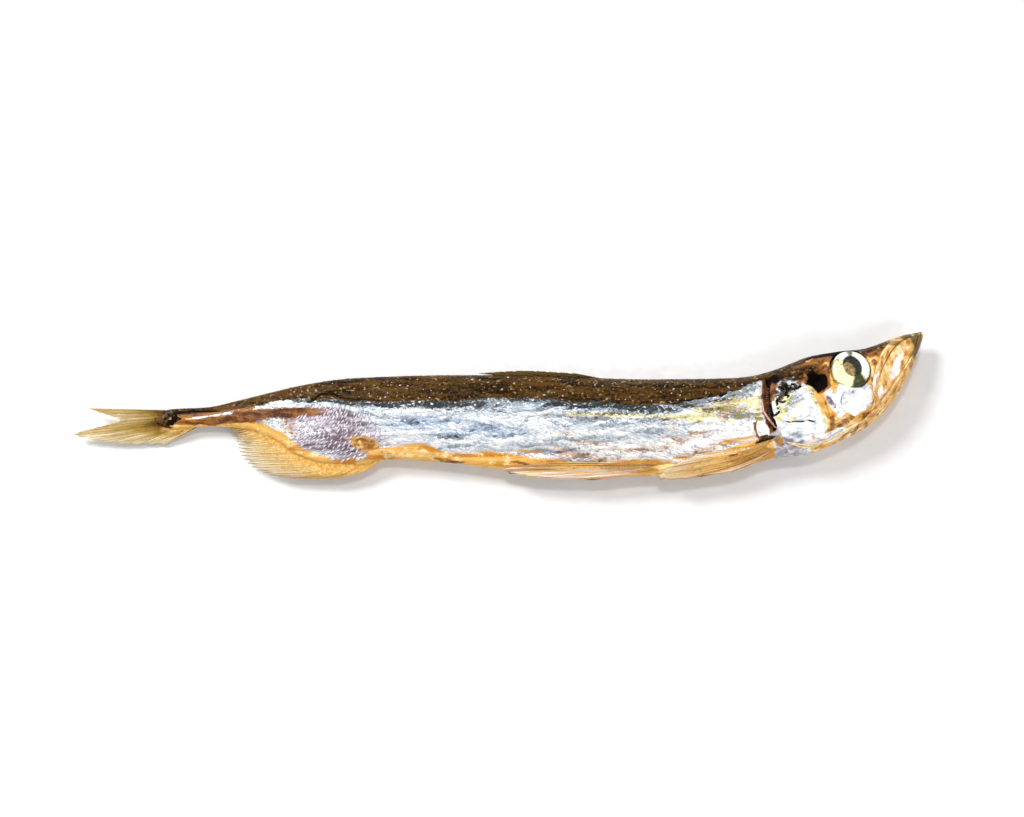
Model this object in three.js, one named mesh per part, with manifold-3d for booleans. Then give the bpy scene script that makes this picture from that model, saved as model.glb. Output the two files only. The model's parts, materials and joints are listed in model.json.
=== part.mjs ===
// A dried capelin lying on its left flank, head towards +X, back towards +Y, right flank up.
// Lengths are in millimetres. The fish is drawn in its own coordinates: s runs along the spine
// from the tail root to the snout, n stands up from the spine towards the back, and z is across
// the fish. The spine is straight along the trunk and bends up into the head.
import * as THREE from "three";
import { mergeVertices } from "three/addons/utils/BufferGeometryUtils.js";
import Module from "manifold-3d";

// Driving dimensions
const SPINE_LENGTH = 135.8; // tail root to snout
const BODY_HALF_WIDTH = 4.7; // at the thickest part, behind the gills
const HEAD_TILT = THREE.MathUtils.degToRad(27); // the head looks up from the trunk's line
const BEND_START = 94.2; // distance from the tail root to where the neck starts to bend
const BEND_RADIUS = 37.5;
const LYING_SINK = 0.25; // how much of the lying flank is pressed flat
const EYE_RADIUS = 3.45;
const PUPIL_RADIUS = 1.75;
const PIT_RADIUS = 1.75; // the hollow that dried in behind the eye
const GILL_GAPE = 0.8; // half the width of the open gill slit
const GILL_DEPTH = 1.5;
const FIN_MEMBRANE = 0.4; // thickness of a dried fin between its rays
const FIN_RAY = 0.8; // thickness over a ray
const FIN_THINNING = 0.6; // share of the thickness left at the ends of the rays
const BURIED = 1.1; // how deep a plate of the head reaches into the flesh

// Shape along the spine: [s, value]. BACK and BELLY are the edges of the side view, measured
// from the spine, WIDTH is a share of BODY_HALF_WIDTH, and LIE is the height of the mid-plane.
const BACK = [
  [-3, 1.1], [0, 1.9], [6, 2.2], [12, 3.5], [18, 5.0], [24, 6.3], [32, 7.3], [48, 7.7], [63, 7.6],
  [84, 6.8], [96, 6.9], [104, 6.4], [114.6, 5.8], [120.5, 4.2], [126, 2.3], [132, 1.6], [135.8, 0.6],
];
const BELLY = [
  [-3, -1.0], [0, -1.6], [7, -1.2], [13, -1.7], [18, -3.6], [22, -6.3], [27, -7.9], [33, -8.2],
  [38.5, -7.2], [48, -7.8], [60, -9.3], [72, -10.2], [84, -10.3], [96, -9.4], [103, -8.6],
  [110, -10.0], [117, -10.2], [121.2, -9.6], [124.4, -8.6], [128.3, -6.5], [132.4, -3.5], [135.8, -0.3],
];
const WIDTH = [
  [-3, 0.07], [0, 0.18], [8, 0.26], [16, 0.4], [24, 0.54], [38, 0.72], [60, 0.9], [84, 1],
  [104, 0.98], [115, 0.93], [122, 0.8], [128, 0.56], [132.4, 0.34], [135.8, 0.1],
];
const LIE = [[0, 2.4], [14, 2.5], [30, 3.1], [60, 4.05], [84, 4.45], [112, 4.3], [135.8, 3.9]];

// Lines along the flank, as a share of the height from belly to back: the furrow under the brown
// back, the raised ridge below it, and the fold above the thin amber belly.
const BACK_FURROW = [[0, 0.6], [9, 0.64], [18, 0.8], [27, 0.76], [40, 0.67], [57, 0.72], [87, 0.7], [103, 0.8]];
const FLANK_RIDGE = [[0, 0.45], [18, 0.6], [40, 0.56], [66, 0.61], [78, 0.55], [94, 0.57], [110, 0.5]];
const BELLY_FOLD = [[0, 0.2], [27, 0.12], [40, 0.15], [54, 0.12], [63, 0.17], [84, 0.09], [101, 0.23]];
const FURROW_DEPTH = 0.45;
const RIDGE_HEIGHT = 0.4;
const FOLD_DEPTH = 0.5;
const WRINKLE = 0.14; // how far the dried skin rises and sinks between those lines

const TAIL_END = -3; // the flesh thins out between the roots of the tail rays
const RINGS = 66; // sections along the body
const SPANS = [4, 3, 4, 3]; // faces from back to furrow, to ridge, to fold and to belly

const { lerp, smoothstep, clamp } = THREE.MathUtils;

// A smooth function of s through stations, which never swings past them.
function track(stations) {
  const xs = stations.map((p) => p[0]);
  const ys = stations.map((p) => p[1]);
  const slope = (i) => (ys[i + 1] - ys[i]) / (xs[i + 1] - xs[i]);
  const tangents = xs.map((_, i) => {
    if (i === 0 || i === xs.length - 1) return slope(i === 0 ? 0 : i - 1);
    const [before, after] = [slope(i - 1), slope(i)];
    return before * after <= 0 ? 0 : (2 * before * after) / (before + after);
  });
  return (x) => {
    const found = xs.findIndex((_, i) => x < xs[i + 1]);
    const i = found < 0 ? xs.length - 2 : found;
    const span = xs[i + 1] - xs[i];
    const t = clamp((x - xs[i]) / span, 0, 1);
    const [t2, t3] = [t * t, t * t * t];
    return (
      (2 * t3 - 3 * t2 + 1) * ys[i] + (t3 - 2 * t2 + t) * span * tangents[i] +
      (3 * t2 - 2 * t3) * ys[i + 1] + (t3 - t2) * span * tangents[i + 1]
    );
  };
}

const back = track(BACK);
const belly = track(BELLY);
const width = track(WIDTH);
const lie = track(LIE);
const backFurrow = track(BACK_FURROW);
const flankRidge = track(FLANK_RIDGE);
const bellyFold = track(BELLY_FOLD);

// The point of space for fish coordinates.
function place(s, n, z) {
  const turn = clamp((s - BEND_START) / BEND_RADIUS, 0, HEAD_TILT);
  const [sin, cos] = [Math.sin(turn), Math.cos(turn)];
  const past = s - BEND_START - BEND_RADIUS * turn; // straight length beyond the bend, or before it
  const x = BEND_START + BEND_RADIUS * sin + past * cos - n * sin;
  const y = BEND_RADIUS * (1 - cos) + past * sin + n * cos;
  return new THREE.Vector3(x, y, z);
}

// Half the thickness of the fish at a point of its side view.
const TRUNK_FULLNESS = 2.3; // 2 is an ellipse, and more is flatter on the flanks
const HEAD_FULLNESS = 3.8;
const BELLY_THINNING = 0.34; // the emptied belly dries thin below the flank
const FLANK_HOLLOW = 0.3; // and the flank sinks a little above it
function halfThickness(s, n) {
  const h = clamp((n - belly(s)) / (back(s) - belly(s)), 0, 1);
  const fullness = lerp(TRUNK_FULLNESS, HEAD_FULLNESS, smoothstep(s, 104, 120));
  const round = Math.sqrt(1 - Math.pow(Math.abs(2 * h - 1), fullness));
  const trunk = smoothstep(s, 30, 55) * (1 - smoothstep(s, 98, 108));
  const thin = 1 - BELLY_THINNING * trunk * (1 - smoothstep(h, 0.05, 0.5));
  const hollow = FLANK_HOLLOW * trunk * Math.exp(-(((h - 0.33) / 0.12) ** 2));
  return Math.max(0.02, round * (BODY_HALF_WIDTH * width(s) * thin - hollow));
}

// A point raised above the skin, or sunk below it. side is 1 for the right, upper flank of the
// fish and -1 for the left.
function onFlank(s, n, side, raised) {
  return place(s, n, lie(s) + side * (halfThickness(s, n) + raised));
}

// A closed solid from rings of points, each ring closed on itself, with a cap at each end.
function loft(rings) {
  const around = rings[0].length;
  const positions = rings.flat().flatMap((p) => [p.x, p.y, p.z]);
  const index = [];
  for (let i = 0; i < rings.length - 1; i++)
    for (let j = 0; j < around; j++) {
      const [a, b] = [i * around + j, i * around + ((j + 1) % around)];
      index.push(a, b, a + around, b, b + around, a + around);
    }
  for (const [ring, forward] of [[0, false], [rings.length - 1, true]]) {
    const sum = rings[ring].reduce((total, p) => total.add(p), new THREE.Vector3());
    const centre = positions.length / 3;
    positions.push(...sum.divideScalar(around));
    for (let j = 0; j < around; j++) {
      const [a, b] = [ring * around + j, ring * around + ((j + 1) % around)];
      index.push(...(forward ? [a, b, centre] : [b, a, centre]));
    }
  }
  return new THREE.BufferGeometry()
    .setAttribute("position", new THREE.Float32BufferAttribute(positions, 3))
    .setIndex(index);
}

// A thin closed solid over a grid: at(u, v), for u and v from 0 to 1, gives its two faces there.
function sheet(at, across, along) {
  const rings = [];
  for (let i = 0; i <= along; i++) {
    const pairs = [];
    for (let j = 0; j <= across; j++) pairs.push(at(j / across, i / along));
    rings.push([...pairs.map((pair) => pair[0]), ...pairs.map((pair) => pair[1]).reverse()]);
  }
  return loft(rings);
}

// A smooth run of points in the side view, by share of its length.
function path(points) {
  const curve = new THREE.CatmullRomCurve3(points.map(([s, n]) => new THREE.Vector3(s, n, 0)));
  return (share) => curve.getPoint(share).toArray();
}

// The trunk and the skull, one skin from the tail root to the snout.
function bodyRing(s) {
  const lines = [1, backFurrow(s), flankRidge(s), bellyFold(s), 0];
  const reliefs = [0, -FURROW_DEPTH, RIDGE_HEIGHT, -FOLD_DEPTH];
  const shown = width(s) * smoothstep(s, 2, 20) * (1 - smoothstep(s, 94, 104));
  const flank = [];
  SPANS.forEach((faces, k) => {
    for (let i = 0; i < faces; i++) {
      const quarter = ((i / faces) * Math.PI) / 2;
      // Faces crowd towards the back and the belly, where the section turns.
      const share = k === 0 ? 1 - Math.cos(quarter) : k === 3 ? Math.sin(quarter) : i / faces;
      const n = lerp(belly(s), back(s), lerp(lines[k], lines[k + 1], share));
      const crease = WRINKLE * Math.cos(Math.PI * (i + k)) * (0.6 + Math.sin(s * 0.31 + 2.1 * k + i));
      flank.push([n, shown * (i === 0 ? reliefs[k] : crease)]);
    }
  });
  const sides = flank.slice(1);
  const edge = (n) => place(s, n, lie(s));
  const right = sides.map(([n, raised]) => onFlank(s, n, 1, raised));
  const left = sides.map(([n, raised]) => onFlank(s, n, -1, raised)).reverse();
  return [edge(back(s)), ...right, edge(belly(s)), ...left];
}

function body() {
  const rings = [];
  for (let i = 0; i <= RINGS; i++) rings.push(bodyRing(lerp(TAIL_END, SPINE_LENGTH, i / RINGS)));
  return loft(rings);
}

// A plate of the head, such as the gill cover: a low dome laid on the flank over an outline of
// the side view.
const GILL_COVER = [
  [107.0, 2.7], [105.5, -0.2], [105.0, -3.1], [105.7, -5.7], [107.7, -8.0], [110.6, -8.8],
  [112.7, -7.6], [113.4, -5.3], [113.8, -2.4], [113.2, 0.2], [111.5, 2.6], [109.2, 3.7],
];
const CHEEK = [
  [116.3, -1.9], [115.6, -4.9], [116.3, -7.6], [118.4, -8.4], [120.8, -7.4], [122.4, -5.2],
  [121.4, -4.2], [119.0, -3.9],
];
const UPPER_JAW = [
  [133.4, 1.1], [131.4, 1.5], [129.0, 1.1], [126.3, -0.9], [124.2, -2.9], [122.7, -4.6],
  [122.4, -6.4], [124.4, -5.0], [126.6, -3.1], [129.5, -1.3], [132.6, 0.0],
];
const LOWER_JAW = [
  [135.4, 0.2], [133.0, -0.4], [129.6, -1.8], [126.4, -3.6], [123.8, -5.6], [121.4, -7.8], [117.6, -9.2],
  [120.1, -9.3], [122.3, -8.8], [125.0, -7.7], [128.3, -5.9], [131.2, -4.0], [133.8, -1.9],
];
function plate(outline, side, lift, faces, steps) {
  const curve = new THREE.CatmullRomCurve3(outline.map(([s, n]) => new THREE.Vector3(s, n, 0)), true);
  const rim = curve.getSpacedPoints(faces).slice(0, faces);
  const centre = rim.reduce((sum, p) => sum.add(p), new THREE.Vector3()).divideScalar(faces);
  const ring = (share, raised) =>
    rim.map((p) => onFlank(lerp(centre.x, p.x, share), lerp(centre.y, p.y, share), side, raised));
  const rings = [ring(0.5, -BURIED), ring(0.97, -BURIED), ring(1, lift * 0.7)];
  for (let i = 0; i < steps; i++) rings.push(ring(lerp(0.93, 0.15, i / steps), lift * (1 + 0.15 * i)));
  return loft(rings);
}

// The eye is a flattened ball in a socket of the skull, leaning with the brow. Its pupil is sunk
// towards the snout, and the dried lens stands in it. A profile is [radius, height over the skin].
const EYE_PLACE = [121.2, -0.1];
const PUPIL_PLACE = [121.8, 0.4];
const EYE_LEAN = 0.25; // how much the eye's face drops for each millimetre towards the back
const SOCKET = [[EYE_RADIUS * 0.97, -1.4], [EYE_RADIUS * 0.97, 3]];
const EYE = [
  [EYE_RADIUS * 0.6, -2.2], [EYE_RADIUS, -1.6], [EYE_RADIUS, -0.5], [EYE_RADIUS * 0.9, -0.05],
  [EYE_RADIUS * 0.7, 0.25], [PUPIL_RADIUS, 0.2], [PUPIL_RADIUS * 0.8, -0.2], [PUPIL_RADIUS * 0.4, -0.05],
];
const EYE_FACES = 20;
function turned(profile, side) {
  const base = lie(EYE_PLACE[0]) + side * halfThickness(...EYE_PLACE);
  return loft(
    profile.map(([radius, height]) => {
      const share = clamp((EYE_RADIUS - radius) / (EYE_RADIUS - PUPIL_RADIUS), 0, 1);
      const [s, n] = [0, 1].map((axis) => lerp(EYE_PLACE[axis], PUPIL_PLACE[axis], share));
      return Array.from({ length: EYE_FACES }, (_, i) => {
        const turn = (2 * Math.PI * i) / EYE_FACES;
        const up = n + radius * Math.sin(turn);
        const lean = EYE_LEAN * (up - EYE_PLACE[1]);
        return place(s + radius * Math.cos(turn), up, base + side * (height - lean));
      });
    }),
  );
}

// Hollows of the head: the open gill slit, and the pit behind the eye.
const GILL_LIPS = [[106.4, 4.6], [104.9, 2], [104.3, -1.2], [104.0, -4], [104.9, -6.6], [106.6, -8.4]];
const CLEAR = 2; // a cut starts this far outside the skin
function gillSlit(side) {
  const lips = path(GILL_LIPS);
  return sheet((u, v) => {
    const [s, n] = lips(v);
    const gape = GILL_GAPE * Math.sin(Math.PI * lerp(0.05, 0.95, v));
    const at = s + lerp(-gape, gape / 2, u);
    return [onFlank(at, n, side, CLEAR), onFlank(at, n, side, -GILL_DEPTH)];
  }, 1, 8);
}

const PIT_PLACE = [114.9, 1.0];
function pit(side) {
  const seat = onFlank(...PIT_PLACE, side, 0.1);
  return new THREE.SphereGeometry(PIT_RADIUS, 14, 8).translate(seat.x, seat.y, seat.z);
}

// The raised rim behind the gill slit, where the shoulder bone shows.
const SHOULDER_LINE = [[104.4, 4.2], [102.8, 1.6], [102.1, -1.4], [101.9, -4], [102.8, -6]];
const SHOULDER_HALF_WIDTH = 0.9;
const SHOULDER_RISE = 0.35;
function shoulder(side) {
  const line = path(SHOULDER_LINE);
  return sheet((u, v) => {
    const [s, n] = line(v);
    const broad = SHOULDER_HALF_WIDTH * Math.sin(Math.PI * lerp(0.12, 0.88, v));
    const at = s + lerp(-broad, broad, u);
    return [onFlank(at, n, side, SHOULDER_RISE * Math.sin(Math.PI * u)), onFlank(at, n, side, -BURIED)];
  }, 4, 7);
}

// A fin: its rays fan out from root to tip, with the membrane thin between them, and the end of
// each ray stands beyond the membrane by fringe. A free fin has its mid-surface at the height
// seat(s, n, u, v). A fin of one side lies on that flank, with its roots in the flesh.
function fin({ root, tip, rays, fringe, seat, side = 0, steps = 4 }) {
  const [start, end] = [path(root), path(tip)];
  return sheet((u, v) => {
    const onRay = Math.round(u * rays * 2) % 2 === 0;
    const [[s0, n0], [s1, n1]] = [start(u), end(u)];
    const length = Math.hypot(s1 - s0, n1 - n0);
    const reach = onRay ? v : v * (1 - Math.min(fringe / length, 0.6));
    const [s, n] = [lerp(s0, s1, reach), lerp(n0, n1, reach)];
    const thick = (onRay ? FIN_RAY : FIN_MEMBRANE) * lerp(1, FIN_THINNING, v);
    const height = seat(s, n, u, v);
    if (side === 0) return [place(s, n, height + thick / 2), place(s, n, height - thick / 2)];
    return [place(s, n, height + side * thick * 0.75), place(s, n, height - side * FIN_RAY)];
  }, rays * 2, steps);
}

function tailFin() {
  return fin({
    root: [[2.6, 1.5], [1.4, 0.9], [0.9, 0], [1.6, -0.9], [4.6, -1.1]],
    tip: [
      [-14.6, 1.9], [-12.6, 1.1], [-9.2, -0.1], [-13.6, -1.4], [-17.4, -2.7], [-10, -4.0], [-1.5, -4.2],
    ],
    rays: 16,
    fringe: 0.5,
    // The lobes dried slightly twisted and rippled.
    seat: (s, n, u, v) => lie(0) + lerp(0, 0.8 - 2.0 * u, v) + 0.25 * Math.sin(u * 11) * v,
  });
}

function analFin() {
  return fin({
    root: [[38, -6.4], [32, -7.2], [27, -6.8], [23.4, -5.6], [20.6, -4.0], [17.4, -2.4], [12, -0.8]],
    tip: [
      [33.6, -9.4], [28.4, -10.4], [22.6, -10.0], [16.6, -9.1], [13.0, -7.6], [11.8, -5.4], [8.0, -1.8],
    ],
    rays: 17,
    fringe: 1.3,
    seat: (s, n, u, v) => lie(s) + (0.4 * Math.sin(u * 7 + 1) - 0.5) * v,
  });
}

// The back fin has dried down onto the back.
function dorsalFin() {
  return fin({
    root: [[79, 6.2], [72, 6.5], [65, 6.8]],
    tip: [[71, 7.8], [62, 8.3], [54, 7.9]],
    rays: 8,
    fringe: 0.4,
    seat: (s, n, u, v) => lie(s) + 0.9 * v,
  });
}

// The paired fins lie back along the flank, near the belly, and reach a little past its edge.
const PAIRED_FINS = [
  {
    root: [[103.6, -5.0], [103.8, -6.0], [103.7, -7.0]],
    tip: [[92.0, -6.9], [85.6, -10.2], [88.4, -10.9], [97.6, -9.7]],
    rays: 7,
  },
  {
    root: [[84.2, -8.3], [84.4, -9.0], [84.2, -9.6]],
    tip: [[66, -8.2], [58.8, -9.1], [63, -10.4], [74, -10.9]],
    rays: 5,
  },
];
const EDGE_SEAT = 0.9; // half the distance between the left and the right fin past the edge
function pairedFins(side) {
  const seat = (s, n) => lie(s) + side * Math.max(halfThickness(s, n), EDGE_SEAT);
  return PAIRED_FINS.map((shape) => fin({ ...shape, fringe: 0.5, seat, side, steps: 5 }));
}

// The adipose fin is a small soft flap, dried down onto the right side of the back.
const ADIPOSE_HINGE = [[33, 6.4], [28, 6.0], [23, 4.9]];
const ADIPOSE_HEIGHT = 1.5;
function adiposeFin() {
  const hinge = path(ADIPOSE_HINGE);
  return sheet((u, v) => {
    const [s, n] = hinge(v);
    const reach = ADIPOSE_HEIGHT * u * Math.sin(Math.PI * lerp(0.15, 0.85, v));
    return [0.45, -0.4].map((raised) => onFlank(s - reach, n - reach, 1, raised));
  }, 2, 6);
}

// Joins everything into one closed solid, cuts the hollows, and presses the lying flank flat.
const wasm = await Module();
wasm.setup();

function solidOf(geometry) {
  geometry.deleteAttribute("normal");
  geometry.deleteAttribute("uv");
  const merged = mergeVertices(geometry, 1e-4);
  const vertProperties = merged.getAttribute("position").array;
  const triVerts = Uint32Array.from(merged.getIndex().array);
  const build = () => new wasm.Manifold(new wasm.Mesh({ numProp: 3, vertProperties, triVerts }));
  const made = build();
  if (made.volume() >= 0) return made;
  // A piece laid out on the left flank comes out inside out, so its faces are turned round.
  for (let i = 0; i < triVerts.length; i += 3) {
    [triVerts[i + 1], triVerts[i + 2]] = [triVerts[i + 2], triVerts[i + 1]];
  }
  return build();
}

function geometryOf(solid) {
  const { numVert, numProp, vertProperties, triVerts } = solid.getMesh();
  const positions = new Float32Array(numVert * 3);
  for (let i = 0; i < numVert; i++) {
    positions.set(vertProperties.subarray(i * numProp, i * numProp + 3), i * 3);
  }
  const geometry = new THREE.BufferGeometry()
    .setAttribute("position", new THREE.BufferAttribute(positions, 3))
    .setIndex(new THREE.BufferAttribute(triVerts, 1));
  geometry.computeVertexNormals();
  return geometry;
}

function capelin() {
  const added = [tailFin(), analFin(), dorsalFin(), adiposeFin()];
  const hollows = [];
  for (const side of [1, -1]) {
    hollows.push(gillSlit(side), pit(side), turned(SOCKET, side));
    added.push(plate(GILL_COVER, side, 0.4, 24, 3), plate(CHEEK, side, 0.3, 16, 2));
    added.push(plate(UPPER_JAW, side, 0.35, 20, 2), plate(LOWER_JAW, side, 0.3, 26, 2));
    added.push(turned(EYE, side), shoulder(side), ...pairedFins(side));
  }
  const skin = hollows.reduce((whole, hollow) => whole.subtract(solidOf(hollow)), solidOf(body()));
  const whole = added.reduce((sum, piece) => sum.add(solidOf(piece)), skin);
  const floor = new THREE.BoxGeometry(500, 500, 20).translate(0, 0, LYING_SINK - 10);
  return geometryOf(whole.subtract(solidOf(floor)));
}

// The origin is at the middle of the fish's box, on the surface it lies on.
const geometry = capelin();
geometry.computeBoundingBox();
const { min, max } = geometry.boundingBox;
geometry.translate(-(min.x + max.x) / 2, -(min.y + max.y) / 2, -min.z);

const driedSkin = new THREE.MeshStandardMaterial({
  name: "dried_skin",
  color: new THREE.Color(0.52, 0.46, 0.4),
  roughness: 0.38,
  metalness: 0.25,
});
const fish = new THREE.Mesh(geometry, driedSkin);
fish.name = "capelin";

const driedCapelin = new THREE.Group();
driedCapelin.add(fish);

export default driedCapelin;
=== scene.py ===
# One dried capelin, lying on its left flank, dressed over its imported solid. Shapes are worked out
# in millimetres of the fish: s runs along the spine from tail root to snout, n towards the back,
# and z across the fish, out of the flank that shows.
import json
import math

import bpy
import numpy as np
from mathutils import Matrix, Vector

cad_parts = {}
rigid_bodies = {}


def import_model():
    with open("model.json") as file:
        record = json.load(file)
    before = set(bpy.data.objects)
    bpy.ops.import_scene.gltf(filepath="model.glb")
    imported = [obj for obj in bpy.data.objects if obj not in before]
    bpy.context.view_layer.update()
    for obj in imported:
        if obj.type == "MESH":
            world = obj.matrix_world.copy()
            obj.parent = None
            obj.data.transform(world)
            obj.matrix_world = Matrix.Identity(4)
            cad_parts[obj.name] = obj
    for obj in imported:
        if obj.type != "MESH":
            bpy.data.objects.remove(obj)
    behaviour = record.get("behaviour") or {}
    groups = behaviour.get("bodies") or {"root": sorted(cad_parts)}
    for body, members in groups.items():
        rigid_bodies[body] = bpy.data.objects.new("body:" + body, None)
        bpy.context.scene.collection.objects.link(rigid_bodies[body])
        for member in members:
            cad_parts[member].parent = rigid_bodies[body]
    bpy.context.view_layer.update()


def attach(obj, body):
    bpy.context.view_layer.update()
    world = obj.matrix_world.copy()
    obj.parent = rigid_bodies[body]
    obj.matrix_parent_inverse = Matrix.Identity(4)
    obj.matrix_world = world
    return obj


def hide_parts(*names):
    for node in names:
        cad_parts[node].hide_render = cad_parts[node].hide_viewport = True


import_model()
MM = 0.001
BODY = "root"
NODE = "capelin"

# ---------------- the fish's own measures, in mm
SPINE_LENGTH = 135.8
TAIL_END = -3.0
BODY_HALF_WIDTH = 4.7
HEAD_TILT = math.radians(27)
BEND_START = 94.2
BEND_RADIUS = 37.5
BOX_CENTRE = np.array([57.755, 2.293, 0.25])  # of the solid, in the fish's own frame
BACK = [
    (-3, 1.1), (0, 1.9), (6, 2.2), (12, 3.5), (18, 5.0), (24, 6.3), (32, 7.3), (48, 7.7), (63, 7.6),
    (84, 6.8), (96, 6.9), (104, 6.4), (114.6, 5.8), (120.5, 4.2), (126, 2.3), (132, 1.6), (135.8, 0.6),
]
BELLY = [
    (-3, -1.0), (0, -1.6), (7, -1.2), (13, -1.7), (18, -3.6), (22, -6.3), (27, -7.9), (33, -8.2),
    (38.5, -7.2), (48, -7.8), (60, -9.3), (72, -10.2), (84, -10.3), (96, -9.4), (103, -8.6), (110, -10.0),
    (117, -10.2), (121.2, -9.6), (124.4, -8.6), (128.3, -6.5), (132.4, -3.5), (135.8, -0.3),
]
WIDTH = [
    (-3, 0.03), (-1, 0.1), (0, 0.16), (8, 0.26), (16, 0.4), (24, 0.54), (38, 0.72), (60, 0.9), (84, 1),
    (104, 0.98), (115, 0.93), (122, 0.8), (128, 0.56), (132.4, 0.34), (135.8, 0.1),
]
LIE = [(0, 2.4), (14, 2.5), (30, 3.1), (60, 4.05), (84, 4.45), (112, 4.3), (135.8, 3.9)]
BACK_FURROW = [(0, 0.6), (9, 0.64), (18, 0.8), (27, 0.76), (40, 0.67), (57, 0.72), (87, 0.7), (103, 0.8)]
FLANK_RIDGE = [(0, 0.45), (18, 0.6), (40, 0.56), (66, 0.61), (78, 0.55), (94, 0.57), (110, 0.5)]
BELLY_FOLD = [(0, 0.2), (27, 0.12), (40, 0.15), (54, 0.12), (63, 0.17), (84, 0.09), (101, 0.23)]
# Where the brown of the back ends, and where the amber of the belly starts.
BACK_LINE = [
    (-3, -0.4), (0, 0.2), (3, 0.6), (9, 1.5), (15, 2.3), (21, 3.2), (27, 3.15), (33, 2.4), (48, 2.4),
    (57, 3.0), (66, 2.7), (75, 2.1), (81, 1.5), (87, 1.5), (90, 2.1), (96, 3.25), (103, 4.5), (107, 4.7),
    (114, 5.0), (120, 3.9), (126, 2.0), (135.8, 0.9),
]
BELLY_LINE = [
    (-3, 0.2), (6, -0.3), (14, -0.6), (19, -2.2), (22, -4.6), (27, -6.9), (32, -7.1), (38.4, -5.4),
    (42, -5.1), (48, -6.0), (54, -6.6), (58.5, -6.3), (63, -7.2), (69, -7.5), (75, -8.7), (81, -9.6),
    (85.5, -9.3), (90, -8.1), (95.7, -6.3), (101, -5.2), (104, -6.0), (107, -10.6), (135.8, -12),
]


def ease(x, low, high):
    """A soft step from 0 at low to 1 at high."""
    t = np.clip((x - low) / (high - low), 0, 1)
    return t * t * (3 - 2 * t)


def fall(x, low, high):
    """A soft step from 1 at low to 0 at high."""
    return 1 - ease(x, low, high)


def lerp(a, b, t):
    return a + (b - a) * t


def bump(x, centre, spread):
    """A soft hill, 1 at its centre."""
    return np.exp(-(((x - centre) / spread) ** 2))


def track(stations):
    """A smooth function through stations, which never swings past them."""
    xs, ys = np.array(stations, float).T
    slope = np.diff(ys) / np.diff(xs)
    before, after = slope[:-1], slope[1:]
    both = before * after > 0
    inner = np.where(both, 2 * before * after / np.where(both, before + after, 1), 0)
    tangent = np.concatenate([slope[:1], inner, slope[-1:]])

    def at(x):
        x = np.clip(x, xs[0], xs[-1])
        i = np.clip(np.searchsorted(xs, x, side="right") - 1, 0, len(xs) - 2)
        span = xs[i + 1] - xs[i]
        t = (x - xs[i]) / span
        rise = t * t * (3 - 2 * t)
        bend = (t**3 - 2 * t**2 + t) * tangent[i] + (t**3 - t**2) * tangent[i + 1]
        return lerp(ys[i], ys[i + 1], rise) + bend * span

    return at


def run(points, closed=False):
    """A smooth line through points, by share of its length."""
    pts = np.array(points, float)
    spans = len(pts) if closed else len(pts) - 1
    first, last = (pts[-1:], pts[:2]) if closed else (2 * pts[:1] - pts[1:2], 2 * pts[-1:] - pts[-2:-1])
    pts = np.concatenate([first, pts, last])

    def at(share):
        x = np.clip(np.asarray(share, float), 0, 1) * spans
        i = np.minimum(x.astype(int), spans - 1)
        t = (x - i)[..., None]
        a, b, c, d = pts[i], pts[i + 1], pts[i + 2], pts[i + 3]
        return b + 0.5 * t * (c - a + t * (2 * a - 5 * b + 4 * c - d + t * (3 * (b - c) + d - a)))

    return at


HASH_X, HASH_Y, HASH_SEED, HASH_SWELL = 127.1, 311.7, 74.7, 43758.5453


def rumple(x, y, seed):
    """Smooth random heights from -1 to 1 over a plane, one hill about every unit."""
    xi, yi = np.floor(x), np.floor(y)
    fx, fy = ease(x - xi, 0, 1), ease(y - yi, 0, 1)

    def corner(i, j):
        wild = np.sin((xi + i) * HASH_X + (yi + j) * HASH_Y + seed * HASH_SEED) * HASH_SWELL
        return 2 * (wild - np.floor(wild)) - 1

    return lerp(lerp(corner(0, 0), corner(1, 0), fx), lerp(corner(0, 1), corner(1, 1), fx), fy)


def patchy(s, n, length, height, seed, low, high):
    """Ragged patches about length by height mm: 0 where the rumple is under low, 1 over high."""
    return ease(rumple(s / length, n / height, seed), low, high)


back, belly, width, lie = track(BACK), track(BELLY), track(WIDTH), track(LIE)
back_furrow, flank_ridge, belly_fold = track(BACK_FURROW), track(FLANK_RIDGE), track(BELLY_FOLD)
back_line, belly_line = track(BACK_LINE), track(BELLY_LINE)


def place(s, n, z):
    """The point of the part's frame, in mm, for fish coordinates."""
    turn = np.clip((s - BEND_START) / BEND_RADIUS, 0, HEAD_TILT)
    past = s - BEND_START - BEND_RADIUS * turn
    x = BEND_START + BEND_RADIUS * np.sin(turn) + past * np.cos(turn) - n * np.sin(turn)
    y = BEND_RADIUS * (1 - np.cos(turn)) + past * np.sin(turn) + n * np.cos(turn)
    return np.stack(np.broadcast_arrays(x, y, z), axis=-1) - BOX_CENTRE


def share_up(s, n):
    return np.clip((n - belly(s)) / (back(s) - belly(s)), 0, 1)


def half_thickness(s, n):
    h = share_up(s, n)
    fullness = lerp(2.3, 3.8, ease(s, 104, 120))
    round_ = np.sqrt(1 - np.abs(2 * h - 1) ** fullness)
    trunk = ease(s, 30, 55) * fall(s, 98, 108)
    thin = 1 - 0.34 * trunk * fall(h, 0.05, 0.5)
    hollow = 0.3 * trunk * bump(h, 0.33, 0.12)
    return np.maximum(0.02, round_ * (BODY_HALF_WIDTH * width(s) * thin - hollow))


def on_flank(s, n, side, raised):
    """A point over the skin: side 1 is the right flank, which shows, and -1 the left."""
    return place(s, n, lie(s) + side * (half_thickness(s, n) + raised))


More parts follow.
